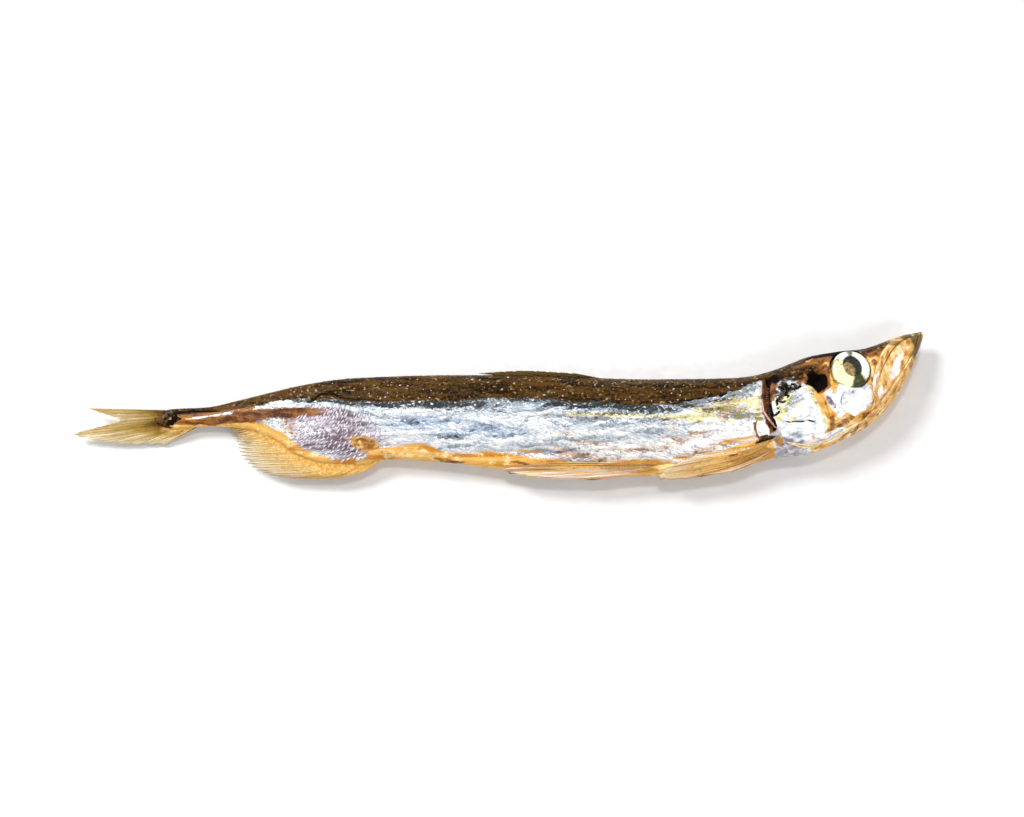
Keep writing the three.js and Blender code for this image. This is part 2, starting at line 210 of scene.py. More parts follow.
# ---------------- the skin's colour fields
PAINTS = ("umber", "slate", "amber", "rust", "rose", "straw", "pearl", "char", "steel", "cream")
RUST_STREAK = track([(-3, -0.6), (6, -0.6), (12, 0.1), (18, 0.8), (24, 1.0), (30, 0.9), (38, 0.4)])
RUST_HALF = track([(-3, 0.3), (6, 0.5), (12, 0.7), (18, 0.85), (24, 0.9), (30, 0.6), (38, 0.2)])
SILVER_STREAK = track([(-3, -0.4), (3, 0.1), (10, 0.9), (17, 1.9), (24, 2.5), (32, 2.1), (40, 1.9)])
GILL_LINE = track([(-8.4, 106.6), (-6.6, 104.9), (-4, 104.2), (-1.2, 104.3), (2, 104.9), (4.6, 106.4)])
EYE = (120.65, -0.08)
PUPIL = (121.25, 0.25)
EYE_RADIUS = 3.45
PUPIL_RADIUS = 1.75
PIT = (114.3, 0.6)
PIT_RADIUS = 1.95


def spot(s, n, centre, reach, lean=0.0):
    """A soft oval patch: its centre, its half length and half height, and its lean in degrees."""
    turn = math.radians(lean)
    ds, dn = s - centre[0], n - centre[1]
    along = (ds * math.cos(turn) + dn * math.sin(turn)) / reach[0]
    across = (dn * math.cos(turn) - ds * math.sin(turn)) / reach[1]
    return ease(1.5 - np.sqrt(along**2 + across**2), 0, 1)


def over(base, *layers):
    for layer in layers:
        base = base + (1 - base) * np.clip(layer, 0, 1)
    return base


def paint(s, n):
    """The share of each colour of the dried skin at a place of the flank."""
    waver = 0.35 * rumple(s / 5.0, n / 2.0, 3) + 0.2 * rumple(s / 1.7, n / 1.0, 4)
    over_back = n - back_line(s) + waver
    over_belly = n - belly_line(s) + waver
    trunk = fall(s, 103.2, 104.6)
    streaks = rumple(s / 9.0, n / 0.7, 5)
    strands = rumple(s / 7.0, n / 0.5, 6)
    ragged_noise = rumple(s / 1.1, n / 0.9, 22)
    front, rear = ease(s, 44, 60), fall(s, 34, 44)
    # Umber: the back, the root of the tail, and a dark line along the tail's stalk.
    tail_root = fall(s + 0.7 * ragged_noise, -1.0, 1.0)
    dark_line = 0.9 * bump(n - 1.0 - 0.1 * s, 0, 0.35) * fall(s, 12, 17)
    umber = over(ease(over_back, -0.35, 0.45), 0.9 * tail_root, dark_line)
    # Slate: painted shade under the back, and two short dark strokes on the silver, the lower one a painted
    # shadow.
    shade_width = lerp(0.35, 1.15, ease(s, 24, 50))
    slate = bump(over_back, -0.5 * shade_width, shade_width) * trunk * ease(s, 14, 26)
    slate = over(
        slate,
        0.6 * trunk * front * bump(over_back, -2.3, 0.5) * ease(streaks, -0.4, 0.3),
        0.9 * spot(s, n, (48.8, -3.7), (3.6, 0.4), -6),
        0.5 * spot(s, n, (42.5, -1.3), (4.0, 0.3), -14),
    )
    # Amber: the belly, the strands over its edge, and patches by the fins.
    amber = over(
        fall(over_belly, -0.5, 0.5),
        0.7 * trunk * front * bump(over_belly, 0.9, 0.55) * ease(strands, 0.0, 0.25),
        0.8 * spot(s, n, (34.2, -4.8), (3.0, 1.3), -14),
        0.95 * spot(s, n, (82.0, -8.9), (6.5, 1.3), 2),
        0.95 * spot(s, n, (101.6, -6.4), (3.0, 0.8), 6),
    )
    # A silver line over the root of the anal fin, and the rust streak beside it.
    line_width = lerp(0.2, 0.55, ease(s, 14, 25))
    line = bump(n - SILVER_STREAK(s) - 0.4 * waver, 0, line_width) * rear * ease(s, 2, 4)
    line = line * patchy(s, n, 1.4, 0.8, 25, -1.1, -0.1)
    rust = 1.3 * bump((n - RUST_STREAK(s) + 0.5 * waver) / RUST_HALF(s), 0, 1.0) * fall(s, 22, 31)
    stain = 0.55 + 0.45 * ease(rumple(s / 3.0, n / 0.35, 24) + 0.5 * n, -0.9, 0.4)
    stain = stain * lerp(0.2, 1.0, ease(over_belly, -0.6, 0.2))
    rust = over(rust, 0.95 * stain * fall(s, 13, 21), 0.5 * spot(s, n, (21.0, -1.6), (1.6, 2.2), 30))
    rust = rust * (1 - line)
    rust = over(
        rust,
        0.6 * spot(s, n, (34.2, -4.7), (2.8, 1.1), -12),
        0.4 * spot(s, n, (37.5, -6.6), (1.8, 0.6)),
        0.6 * bump(over_back, -2.3, 0.16) * ease(streaks, 0.0, 0.3) * front * trunk,
        0.55 * bump(n + 0.9 + 0.035 * (s - 78), 0, 0.14) * ease(s, 64, 70) * fall(s, 88, 94),
        0.75 * bump(over_belly, -1.5, 0.4) * ease(s, 40, 50) * trunk * ease(strands, -0.3, 0.2),
        0.5 * bump(over_belly, -0.1, 0.25) * ease(s, 44, 60) * trunk * ease(strands, -0.1, 0.3),
        0.8 * spot(s, n, (80.0, -8.8), (5.0, 0.3), 4) * ease(strands, -0.5, 0.1),
    )
    # Rose: the swollen root of the anal fin, and faintly the flank. Straw: behind the gills and along
    # the lateral line. Pearl: the silver line, and the bright lower flank, partly its own white and
    # partly a painted highlight.
    rose = over(
        spot(s, n, (28.2, -2.2), (8.4, 4.3), -20) * fall(n, 1.2, 2.4),
        0.35 * trunk * bump(over_belly, 1.4, 1.2) * ease(s, 56, 70),
        0.45 * bump(rumple(s / 14.0, n / 2.2, 8), 0.6, 0.35) * trunk,
    )
    straw = over(
        0.95 * spot(s, n, (97.0, 0.7), (6.5, 2.7), 14) * patchy(s, n, 1.3, 0.5, 28, -0.7, 0.0),
        0.85 * trunk * ease(s, 66, 72) * bump(n + 0.3 + 0.03 * (s - 78), 0, 0.45) * fall(s, 90, 96),
        0.35 * trunk * bump(n + 0.2, 0, 1.2) * ease(streaks, 0.1, 0.6) * front,
        0.4 * trunk * bump(over_belly, 1.5, 1.5) * ease(s, 60, 72) * ease(streaks, -0.2, 0.4),
    )
    pearl = over(
        0.55 * line * patchy(s, n, 0.6, 0.22, 11, -0.5, 0.2),
        0.7 * trunk * bump(over_belly, 2.3, 1.3) * ease(s, 56, 80),
        0.6 * trunk * bump(n, -2.2, 1.2) * ease(s, 80, 92),
        0.8 * ease(s, 70, 76) * fall(s, 84, 90) * bump(over_belly, -0.2, 0.5) * (strands > 0.1),
    )
    # Char: the black at the root of the tail, along the back's edge, with painted shade along its top edge,
    # and the line of the belly.
    root_ink = 1.5 - np.hypot((s - 0.3) / 1.2, (n - 0.2) / 1.0) + 0.8 * rumple(s / 1.3, n / 0.35, 19)
    char = over(
        1.2 * ease(root_ink, 0.2, 0.8) * patchy(s, n, 0.4, 0.3, 17, -0.8, -0.4),
        0.8 * bump(n - 1.2 - 0.02 * s, 0, 0.3) * ease(s, 0, 1) * fall(s, 6, 14),
        0.95 * bump(over_back - 0.9 * rumple(s / 2.4, 0 * n, 9), 0.2, 0.25) * bump(s, 29, 8),
        0.85 * bump(over_back, 0.1, 0.3) * ease(streaks, -0.3, 0.2) * ease(s, 34, 44),
        0.5 * bump(over_belly, -0.5, 0.14) * trunk * ease(strands, 0.1, 0.4) * ease(s, 40, 50),
        # painted shade along the back's top edge
        0.45 * ease(n - back(s), -0.9, 0.0) * patchy(s, n, 2.0, 0.5, 13, -0.4, 0.2),
    )
    steel = over(
        0.9 * spot(s, n, (50.0, -2.2), (13.0, 1.9), -4),
        0.8 * trunk * front * bump(over_back, -1.6, 0.9),
        0.6 * bump(over_back, -1.0, 0.8) * bump(s, 36, 7),
    )
    # The head: a warm, half clear skin over the skull, black-brown at its top with painted shade along its
    # top edge, and a bright throat.
    head = ease(s, 104.4, 105.6)
    warm = head * over(ease(s, 111.4, 112.4), ease(-n, 6.0, 7.5) * ease(s, 107.8, 110))
    nape = head * ease(n, -0.6, 0.8)
    around_eye = np.hypot(s - EYE[0], n - EYE[1])
    around_pit = np.hypot(s - PIT[0], (n - PIT[1]) / 1.15)
    cheek_white = spot(s, n, (119.2, -4.4), (3.1, 2.6), -12)
    bare = over(spot(s, n, (115.3, -4.1), (1.1, 3.0), 4), cheek_white)
    bare = head * bare * patchy(s, n, 0.9, 0.8, 21, -1.2, -0.6)
    throat = spot(s, n, (112.3, -8.8), (3.4, 0.9), -6) * patchy(s, n, 1.5, 0.5, 18, -0.7, 0.2)
    warm = warm * (1 - 0.9 * bare) * (1 - 0.85 * throat)
    amber = over(amber * trunk, 0.97 * warm)
    pale = ease(rumple(s / 1.3, n / 1.1, 26) + 0.5 * bump(s, 115.0, 1.5), -0.2, 0.6)
    rust = over(
        rust,
        0.95 * nape * patchy(s, n, 1.8, 1.4, 23, -0.6, 0.0) * fall(s, 116.4, 118),
        0.8 * head * bump(n - back(s), -1.6, 0.7) * ease(s, 107, 110),
        0.6 * spot(s, n, (112.9, 1.6), (0.9, 1.4), -30),
        0.9 * ease(PIT_RADIUS + 0.7 + 0.5 * ragged_noise - around_pit, 0, 0.6),
        0.7 * spot(s, n, (126.5, 1.0), (4.5, 1.1), -20),
        0.6 * spot(s, n, (115.4, -7.8), (1.6, 0.7), -10),
        0.6 * warm * patchy(s, n, 0.9, 0.6, 10, 0.1, 0.5),
        0.95 * bump(s - GILL_LINE(n) + 0.3 * ragged_noise, -0.3, 0.7) * ease(n, -5.2, -4.2),
        0.8 * spot(s, n, (102.6, -5.9), (1.6, 0.35), 8),
        1.1 * bump(np.hypot((s - 103.0) / 1.4, (n + 3.6) / 2.0), 1.0, 0.16) * (s < 102.9),
    )
    umber = np.maximum(umber, over(
        0.97 * head * ease(n - back(s) + 0.3 * ragged_noise, -1.5, -0.7) * fall(s, 128, 131),
        0.95 * head * spot(s, n, (108.4, 4.6), (3.4, 1.3), -5),
        0.95 * head * spot(s, n, (112.4, 3.2), (3.6, 1.2), -4) * patchy(s, n, 1.0, 0.8, 14, -0.7, 0.0),
        0.95 * spot(s, n, (102.9, -5.5), (1.7, 0.4), 8),
        # painted shade down in the gill slit
        0.9 * bump(s - GILL_LINE(n) + 0.25 * ragged_noise, 0.55, 0.18) * ease(n, -4.6, -3.6) * fall(n, 5, 6),
    ))
    slate = over(slate, 0.8 * spot(s, n, (134.2, 0.7), (1.6, 0.7)))
    isthmus = spot(s, n, (106.4, -8.0), (2.9, 2.3), -20)
    rose = over(rose, 0.6 * isthmus, 0.8 * bare * (1 - cheek_white))
    pearl = over(
        pearl,
        0.7 * warm * pale * (1 - nape) * fall(s, 117, 118),
        0.3 * isthmus,
        0.8 * throat,
        0.5 * spot(s, n, (111.5, -9.4), (4.0, 0.8), -5),
        0.95 * bare * ease(rumple(s / 0.7, n / 0.9, 20) + cheek_white, -0.6, 0.0),
    )
    slit_shade_patches = patchy(s, n, 0.45, 0.7, 27, -0.9, 0.1)
    char = over(
        char,
        # Painted shade: black down in the hollow of the pit and in the gill slit.
        1.5 * ease(PIT_RADIUS + 0.1 + 0.5 * ragged_noise - around_pit, 0, 0.6),
        1.3 * bump(s - GILL_LINE(n), 0.5, 0.32) * ease(n, -5.0, -3.9) * fall(n, 3.6, 5) * slit_shade_patches,
        0.8 * spot(s, n, (107.6, 4.2), (1.7, 0.9)) * ease(ragged_noise, -0.5, 0.1),
        0.9 * bump(around_eye, EYE_RADIUS + 0.15, 0.22) * ease(n, 0.6, 2.6),
        0.85 * spot(s, n, (120.0, 3.7), (2.6, 0.5), -18),
        spot(s, n, (127.9, 0.95), (0.28, 0.16), -35),
        # painted shade along the head's top edge
        0.55 * head * ease(n - back(s), -0.7, -0.1) * patchy(s, n, 1.5, 0.5, 12, -0.5, 0.2),
    )
    # Cream: the lower flank towards the gills.
    lower = ease(over_belly, -0.4, 0.6) * fall(over_belly, 3.4, 5.6)
    cream = over(
        0.95 * trunk * ease(s, 60, 72) * lower * ease(rumple(s / 6.0, n / 0.6 + 0.1 * s, 16), -0.5, 0.2),
        0.85 * trunk * ease(s, 82, 92) * patchy(s, n, 3.0, 0.7, 15, -0.6, 0.1),
    ) * (1 - 0.9 * straw)
    shares = (umber, slate, amber, rust, rose, straw, pearl, char, steel, cream)
    return {name: np.clip(share, 0, 1) for name, share in zip(PAINTS, shares)}


# ---------------- meshes
FLANKS = ((1, "shown"), (-1, "underside"))
HANDS = ((1, "right"), (-1, "left"))


def put_in_scene(name, data):
    """A new object at the origin."""
    thing = bpy.data.objects.new(name, data)
    bpy.context.scene.collection.objects.link(thing)
    return thing


def new_mesh(name, points, edges, faces, marks, vectors=None):
    """A mesh from points in mm, with its named values and vectors at each point."""
    mesh = bpy.data.meshes.new(name)
    mesh.from_pydata((points * MM).tolist(), edges, faces)
    for kind, key, fields in (("FLOAT_VECTOR", "vector", vectors or {}), ("FLOAT", "value", marks)):
        for mark, values in fields.items():
            data = mesh.attributes.new(mark, kind, "POINT").data
            data.foreach_set(key, np.ascontiguousarray(values, np.float32).ravel())
    return mesh


def new_piece(name, points, faces, material, marks):
    """A mesh piece in the part's frame, with its faces turned outwards."""
    a, b, c = (points[faces[:, k]] for k in range(3))
    if np.einsum("ij,ij->i", a, np.cross(b, c)).sum() < 0:
        faces = faces[:, ::-1]
    mesh = new_mesh(name, points, [], faces.tolist(), marks)
    mesh.shade_smooth()
    mesh.materials.append(material)
    return put_in_scene(name, mesh)


def loft(rings, zipped=False):
    """The points and faces of a closed solid from rings of points, capped at both ends.

    A zipped end joins the two halves of a flat ring, edge to edge; others close on a middle point.
    """
    rings = np.asarray(rings, float)
    count, around = rings.shape[:2]
    i, j = np.meshgrid(np.arange(count - 1), np.arange(around), indexing="ij")
    a = i * around + j
    b = i * around + (j + 1) % around
    faces = [np.stack([a, b, a + around], -1), np.stack([b, b + around, a + around], -1)]
    last = (count - 1) * around
    if zipped:
        j = np.arange(around // 2 - 1)
        facing = around - 1 - j
        faces += [np.stack([j + 1, j, facing], -1), np.stack([j + 1, facing, facing - 1], -1)]
        faces += [last + np.stack([j, j + 1, facing], -1), last + np.stack([j + 1, facing - 1, facing], -1)]
        return rings.reshape(-1, 3), np.concatenate([f.reshape(-1, 3) for f in faces])
    j = np.arange(around)
    hub = count * around
    faces.append(np.stack([(j + 1) % around, j, np.full(around, hub)], -1))
    faces.append(np.stack([last + j, last + (j + 1) % around, np.full(around, hub + 1)], -1))
    points = np.concatenate([rings.reshape(-1, 3), rings[[0, -1]].mean(axis=1)])
    return points, np.concatenate([f.reshape(-1, 3) for f in faces])


def with_caps(values, zipped=False):
    """Values over the rings of a loft, with one more for the middle of each cap."""
    values = np.asarray(values, float)
    if zipped:
        return values.reshape(-1)
    return np.concatenate([values.reshape(-1), values[[0, -1]].mean(axis=1)])


def on_board(points, floor):
    """Keeps points out of the board that the fish lies on; the underside dries flat."""
    points = np.array(points, float)
    points[..., 2] = np.maximum(points[..., 2], floor)
    return points


def lofted(name, s, n, z, material, marks=None, floor=0.0, zipped=False):
    """A closed piece over rings of fish coordinates, painted as the skin is there."""
    s, n, z = np.broadcast_arrays(s, n, z)
    points, faces = loft(on_board(place(s, n, z), floor), zipped)
    fields = {**paint(s, n), "along": s, "across": n, **(marks or {})}
    fields = {mark: with_caps(np.broadcast_to(values, s.shape), zipped) for mark, values in fields.items()}
    return new_piece(name, points, faces, material, fields)


# ---------------- finishes
class Nodes:
    """A node tree as it is put together: each input is given a value or the output of a node."""

    def __init__(self, tree):
        self.tree = tree

    def join(self, socket, value):
        if isinstance(value, bpy.types.NodeSocket):
            self.tree.links.new(value, socket)
        else:
            socket.default_value = value

    def set(self, node, **values):
        for name, value in values.items():
            self.join(node.inputs[name.replace("_", " ")], value)

    def add(self, kind, settings=None, **values):
        node = self.tree.nodes.new(kind)
        for name, value in (settings or {}).items():
            setattr(node, name, value)
        self.set(node, **values)
        return node

    def maths(self, operation, *values):
        node = self.add("ShaderNodeMath", {"operation": operation})
        for socket, value in zip(node.inputs, values):
            self.join(socket, value)
        return node.outputs[0]

    def times(self, a, b):
        return self.maths("MULTIPLY", a, b)

    def plus(self, a, b):
        return self.maths("ADD", a, b)

    def minus(self, a, b):
        return self.maths("SUBTRACT", a, b)

    def most(self, a, b):
        return self.maths("MAXIMUM", a, b)


GRAIN_ROUGHNESS = 0.6
WAVE_SIZE, WAVE_HEIGHT, WAVE_SLICE = 7.0, 2.4, 0.37  # slow waves that bend the long noise, in mm
MIX_SHARE, MIX_FIRST, MIX_SECOND, MIX_COLOUR = 0, 6, 7, 2  # sockets of a mix node, set to colours


class Finish(Nodes):
    """A material as it is put together."""

    def __init__(self, name, **fixed):
        self.material = bpy.data.materials.new(name)
        self.material.use_nodes = True
        super().__init__(self.material.node_tree)
        self.surface = self.tree.nodes["Principled BSDF"]
        self.where = self.add("ShaderNodeTexCoord").outputs["Object"]
        self.give(**fixed)

    def give(self, **values):
        self.set(self.surface, **values)

    def mark(self, name):
        return self.add("ShaderNodeAttribute", {"attribute_name": name}).outputs["Fac"]

    def ease(self, value, low, high, start=0.0, end=1.0):
        node = self.add("ShaderNodeMapRange", {"interpolation_type": "SMOOTHSTEP"}, Value=value)
        self.set(node, From_Min=low, From_Max=high, To_Min=start, To_Max=end)
        return node.outputs["Result"]

    def mix(self, share, first, second):
        node = self.add("ShaderNodeMix", {"data_type": "RGBA"})
        for socket, value in ((MIX_SHARE, share), (MIX_FIRST, first), (MIX_SECOND, second)):
            self.join(node.inputs[socket], (*value, 1) if isinstance(value, tuple) else value)
        return node.outputs[MIX_COLOUR]

    def ramp(self, value, tone, *steps):
        """Tones that follow one another as a value grows: each step is low, high and its tone."""
        for low, high, following in steps:
            tone = self.mix(self.ease(value, low, high), tone, following)
        return tone

    def stain(self, colour, share, weight, tone):
        """A colour with a tone laid over it, as far as share times weight."""
        return self.mix(self.times(share, weight), colour, tone)

    def ruffle(self, value, field, weight):
        """A value moved by how far a field is from its middle, times a weight."""
        return self.plus(value, self.times(self.minus(field, 0.5), weight))

    def grain(self, size, detail=3.0, warp=0.0):
        """Noise with hills about size mm across."""
        node = self.add("ShaderNodeTexNoise", Vector=self.where, Scale=1 / (size * MM))
        self.set(node, Detail=detail, Roughness=GRAIN_ROUGHNESS, Distortion=warp)
        return node.outputs["Fac"]

    def fibres(self, x, y, z, detail):
        """Noise over a space of its own."""
        vector = self.add("ShaderNodeCombineXYZ", X=x, Y=y, Z=z).outputs[0]
        return self.add("ShaderNodeTexNoise", Vector=vector, Scale=1.0, Detail=detail).outputs["Fac"]

    def lengthwise(self, length, height):
        """Noise drawn out along the fish: length by height, in mm."""
        x = self.maths("DIVIDE", self.mark("along"), length)
        waves = self.times(self.grain(WAVE_SIZE, detail=1.0), WAVE_HEIGHT)
        y = self.maths("DIVIDE", self.plus(self.mark("across"), waves), height)
        return self.fibres(x, y, WAVE_SLICE, 3.0)

    def relief(self, height, depth):
        """Bump of depth mm from a height field of 0 to 1."""
        return self.add("ShaderNodeBump", Height=height, Strength=1.0, Distance=depth * MM).outputs["Normal"]


# Colours of the dried fish, as linear shares of red, green and blue.
# The silver tones are partly the skin's own colour and partly painted highlight and painted shade.
SILVER_DARK, SILVER, SILVER_BRIGHT = (0.32, 0.37, 0.42), (0.68, 0.73, 0.78), (0.98, 0.98, 0.98)
STEEL_DARK, STEEL = (0.17, 0.22, 0.30), (0.50, 0.59, 0.74)
UMBER_DARK, UMBER, UMBER_PALE = (0.012, 0.005, 0.001), (0.105, 0.048, 0.008), (0.40, 0.30, 0.15)
SLATE_DARK, SLATE = (0.016, 0.020, 0.022), (0.24, 0.30, 0.35)
AMBER_DARK, AMBER, AMBER_PALE = (0.58, 0.23, 0.03), (0.84, 0.47, 0.12), (0.96, 0.75, 0.38)
RUST_DARK, RUST = (0.08, 0.024, 0.008), (0.36, 0.14, 0.03)
ROSE_DARK, ROSE, ROSE_PALE = (0.13, 0.06, 0.075), (0.46, 0.38, 0.46), (0.84, 0.80, 0.88)
STRAW_DARK, STRAW = (0.30, 0.25, 0.06), (0.91, 0.80, 0.35)
CREAM_DARK, CREAM, CREAM_PALE = (0.40, 0.24, 0.16), (0.80, 0.62, 0.48), (0.99, 0.94, 0.88)
PEARL, PEARL_SHADE = (0.98, 0.975, 0.96), (0.60, 0.61, 0.68)
CHAR = (0.005, 0.003, 0.002)


def skin_finish(name, shade=None, shine=0.22, bump_depth=0.10, calm=1.0):
    """The dried skin: each colour field with its own grain, and ragged edges between them."""
    f = Finish(name, IOR=1.4, Specular_IOR_Level=0.13, Coat_Weight=0.03, Coat_Roughness=0.1)
    fine, mottle, blotch = f.grain(0.5), f.grain(1.1, warp=0.7), f.grain(3.2)
    streak, hair, band = f.lengthwise(7.0, 0.9), f.lengthwise(3.0, 0.42), f.lengthwise(16.0, 1.7)
    on_head = f.ease(f.mark("along"), 103.0, 106.0)
    streak = f.plus(f.times(f.minus(1.0, on_head), streak), f.times(on_head, f.grain(1.6, warp=0.5)))
    rag = f.minus(f.plus(mottle, f.times(fine, 0.6)), 0.8)

    def blend(*parts):
        """The sum of fields, each times its weight, about its middle value."""
        total = 0.0
        for value, weight in parts:
            total = f.ruffle(total, value, weight)
        return total

    def field(mark, ragged=0.7):
        """A colour field whose edge breaks up into the grain."""
        return f.ease(f.plus(f.mark(mark), f.times(rag, ragged)), 0.3, 0.7)

    # The silver's dark and bright mottle, which the tones below follow, is partly the skin's own tone and
    # partly painted highlights and painted shade.
    foil_and_glints = f.times(blend((streak, 1.1), (hair, 0.9), (mottle, 0.6), (fine, 0.45), (band, 0.9)), calm)
    # Each scale's random shade moves its mottle: partly random tone, partly painted glints from scale to
    # scale.
    if shade:
        foil_and_glints = f.ruffle(foil_and_glints, f.mark(shade), 0.16)
    colour = f.ramp(foil_and_glints, SILVER_DARK, (-0.28, -0.04, SILVER), (-0.04, 0.22, SILVER_BRIGHT))
    for mark, ragged, weight, tones in (
        ("steel", 0.8, 0.85, (STEEL_DARK, (-0.25, 0.0, STEEL), (0.02, 0.3, SILVER_BRIGHT))),
        ("rose", 0.5, 0.85, (ROSE_DARK, (-0.10, 0.12, ROSE), (0.11, 0.28, ROSE_PALE))),
        ("straw", 1.1, 0.85, (STRAW_DARK, (-0.2, 0.05, STRAW))),
        ("cream", 0.9, 0.8, (CREAM_DARK, (-0.25, 0.0, CREAM), (0.02, 0.2, CREAM_PALE))),
        ("pearl", 0.6, 0.9, (PEARL_SHADE, (-0.26, -0.06, PEARL))),
    ):
        colour = f.stain(colour, field(mark, ragged), weight, f.ramp(foil_and_glints, *tones))
    slate = f.ramp(foil_and_glints, SLATE_DARK, (-0.05, 0.15, SLATE))
    slate = f.ramp(blend((fine, 1.0), (hair, 0.6)), slate, (0.08, 0.2, SILVER_BRIGHT))
    colour = f.stain(colour, field("slate", 1.7), 0.92, slate)
    amber = f.ramp(streak, AMBER_DARK, (0.34, 0.56, AMBER))
    amber = f.ramp(blend((blotch, 1.0), (hair, 0.6), (fine, 0.4)), amber, (0.02, 0.22, AMBER_PALE))
    colour = f.mix(field("amber"), colour, amber)
    rust = f.ramp(blend((mottle, 0.8), (streak, 1.0), (hair, 0.6)), RUST_DARK, (-0.26, 0.24, RUST))
    colour = f.stain(colour, field("rust", 1.1), 0.98, rust)
    umber = f.ramp(blend((streak, 0.7), (hair, 0.6), (fine, 0.8)), UMBER_DARK, (-0.2, 0.16, UMBER))
    umber = f.ramp(blend((fine, 1.0), (mottle, 0.8)), umber, (0.13, 0.26, UMBER_PALE))
    brown, black = field("umber"), field("char")
    colour = f.mix(black, f.mix(brown, colour, umber), CHAR)

    warm = f.most(f.most(brown, field("amber")), f.most(black, field("rust")))
    rough = f.ease(blend((fine, 1.0), (mottle, 1.0)), -0.25, 0.25, 0.22, 0.45)
    height = blend((fine, 0.5), (hair, 1.2), (streak, 1.0), (mottle, 0.6))
    f.give(Base_Color=colour, Metallic=f.times(f.minus(1.0, warm), shine))
    f.give(Roughness=f.most(rough, f.times(black, 0.9)), Normal=f.relief(height, bump_depth))
    return f.material


SKIN = skin_finish("dried_skin_finish")
PLATE = skin_finish("head_plate_finish", calm=0.9, bump_depth=0.08)
SCALE = skin_finish("scale_finish", shade="shade", shine=0.3, bump_depth=0.05)


def simple_finish(name, dark, light, size, rough=(0.3, 0.5), depth=0.03, **fixed):
    """A two-tone finish with grain of size mm."""
    f = Finish(name, **fixed)
    tone, fine = f.grain(size, warp=0.4), f.grain(size * 0.35)
    both = f.plus(tone, f.times(fine, 0.4))
    f.give(Base_Color=f.ramp(both, dark, (0.45, 0.95, light)))
    f.give(Roughness=f.ease(fine, 0.35, 0.65, *rough), Normal=f.relief(both, depth))
    return f.material


MOIST = {"Specular_IOR_Level": 0.3, "Coat_Weight": 0.2}
# The white of the dashes is a painted highlight on their ridges.
DASH = simple_finish(
    "pearl_dash", (0.40, 0.32, 0.44), (0.97, 0.95, 0.97), 0.5, Metallic=0.15, Coat_Weight=0.2)
FLECK = simple_finish("back_fleck", (0.42, 0.38, 0.30), (0.85, 0.84, 0.80), 0.3, Metallic=0.3)
LENS = simple_finish("cloudy_lens", (0.09, 0.055, 0.02), (0.44, 0.28, 0.11), 0.7, (0.2, 0.4), 0.08, **MOIST)
PUPIL_FINISH = simple_finish(
    "pupil_black", (0.006, 0.008, 0.006), (0.05, 0.055, 0.045), 0.4, (0.12, 0.3), **MOIST)
GILL = simple_finish("gill_red", (0.02, 0.006, 0.004), (0.24, 0.075, 0.045), 0.35, **MOIST)
GILL_EDGE_FINISH = simple_finish("gill_edge_pink", (0.42, 0.16, 0.10), (0.82, 0.50, 0.40), 0.5)
THROAT_RAY = simple_finish(
    "throat_ray_bone", (0.66, 0.42, 0.16), (0.96, 0.86, 0.62), 0.6, Specular_IOR_Level=0.3)


def eye_ring_finish():
    """The iris: a black line at its rim, pale yellow behind, white ahead, and painted shade, dark olive,
    towards the jaw and in two places above.
    """
    f = Finish("eye_ring_finish", Coat_Weight=0.15, Coat_Roughness=0.08, IOR=1.38, Specular_IOR_Level=0.3)
    radius, mottle = f.mark("radius"), f.grain(0.7, warp=0.8)
    cream = f.ramp(mottle, (0.80, 0.75, 0.34), (0.3, 0.55, (0.97, 0.94, 0.56)))
    white = f.ramp(mottle, (0.62, 0.64, 0.52), (0.3, 0.5, (0.97, 0.97, 0.90)))
    cream = f.ramp(f.mark("white"), cream, (0.35, 0.65, white))
    light = f.plus(f.mark("painted_light"), f.times(mottle, 0.4))
    shaded = f.ramp(light, (0.05, 0.052, 0.018), (0.4, 0.9, cream))
    inner = f.ramp(radius, (0.05, 0.055, 0.03), (0.46, 0.56, shaded))
    colour = f.ramp(f.ruffle(radius, mottle, 0.3), inner, (0.93, 1.01, (0.07, 0.065, 0.02)))
    f.give(Base_Color=colour, Roughness=f.ease(mottle, 0.3, 0.7, 0.1, 0.3), Normal=f.relief(mottle, 0.06))
    return f.material


def web_finish():
    """Fin membrane: amber at the flesh, straw further out, and clearer at the tips."""
    f = Finish("fin_web_finish", IOR=1.38, Specular_IOR_Level=0.15, Roughness=0.42)
    reach, ribbing, mottle = f.mark("reach"), f.mark("ribbing"), f.grain(0.5)
    worn = f.ruffle(reach, f.grain(2.2), 0.5)
    root = f.ramp(mottle, (0.72, 0.34, 0.06), (0.35, 0.65, (0.94, 0.60, 0.20)))
    straw = f.ramp(mottle, (0.80, 0.54, 0.18), (0.3, 0.65, (0.96, 0.78, 0.42)))
    warm = f.ramp(worn, root, (0.3, 0.75, straw), (0.6, 1.0, (0.95, 0.85, 0.62)))
    dull = f.ramp(mottle, (0.12, 0.065, 0.006), (0.35, 0.65, (0.34, 0.19, 0.03)))
    dull = f.ramp(reach, (0.055, 0.027, 0.004), (0.1, 0.38, dull))
    dull = f.ramp(worn, dull, (0.2, 0.5, (0.47, 0.29, 0.05)), (0.4, 0.85, (0.93, 0.80, 0.54)))
    colour = f.mix(f.mark("olive"), warm, dull)
    gleam = f.ruffle(f.mark("pearl"), mottle, 0.8)
    for value, low, high, weight, tone in (
        (ribbing, 0.5, 1.0, 0.3, (0.36, 0.20, 0.045)), (gleam, 0.35, 0.6, 0.85, (0.95, 0.84, 0.80)),
        (f.mark("rust"), 0.3, 0.7, 0.8, RUST), (f.mark("char"), 0.3, 0.7, 0.92, CHAR),
    ):
        colour = f.stain(colour, f.ease(value, low, high), weight, tone)
    # Umber over the back fin and faintly the anal fin, and painted shade at the root of each breast fin.
    colour = f.mix(f.mark("umber_wash"), colour, f.ramp(ribbing, UMBER, (0.2, 0.8, UMBER_DARK)))
    f.give(Base_Color=colour, Alpha=f.ease(f.mark("clear"), 0.3, 1.0, 1.0, 0.3))
    f.give(Normal=f.relief(f.plus(ribbing, mottle), 0.07))
    return f.material


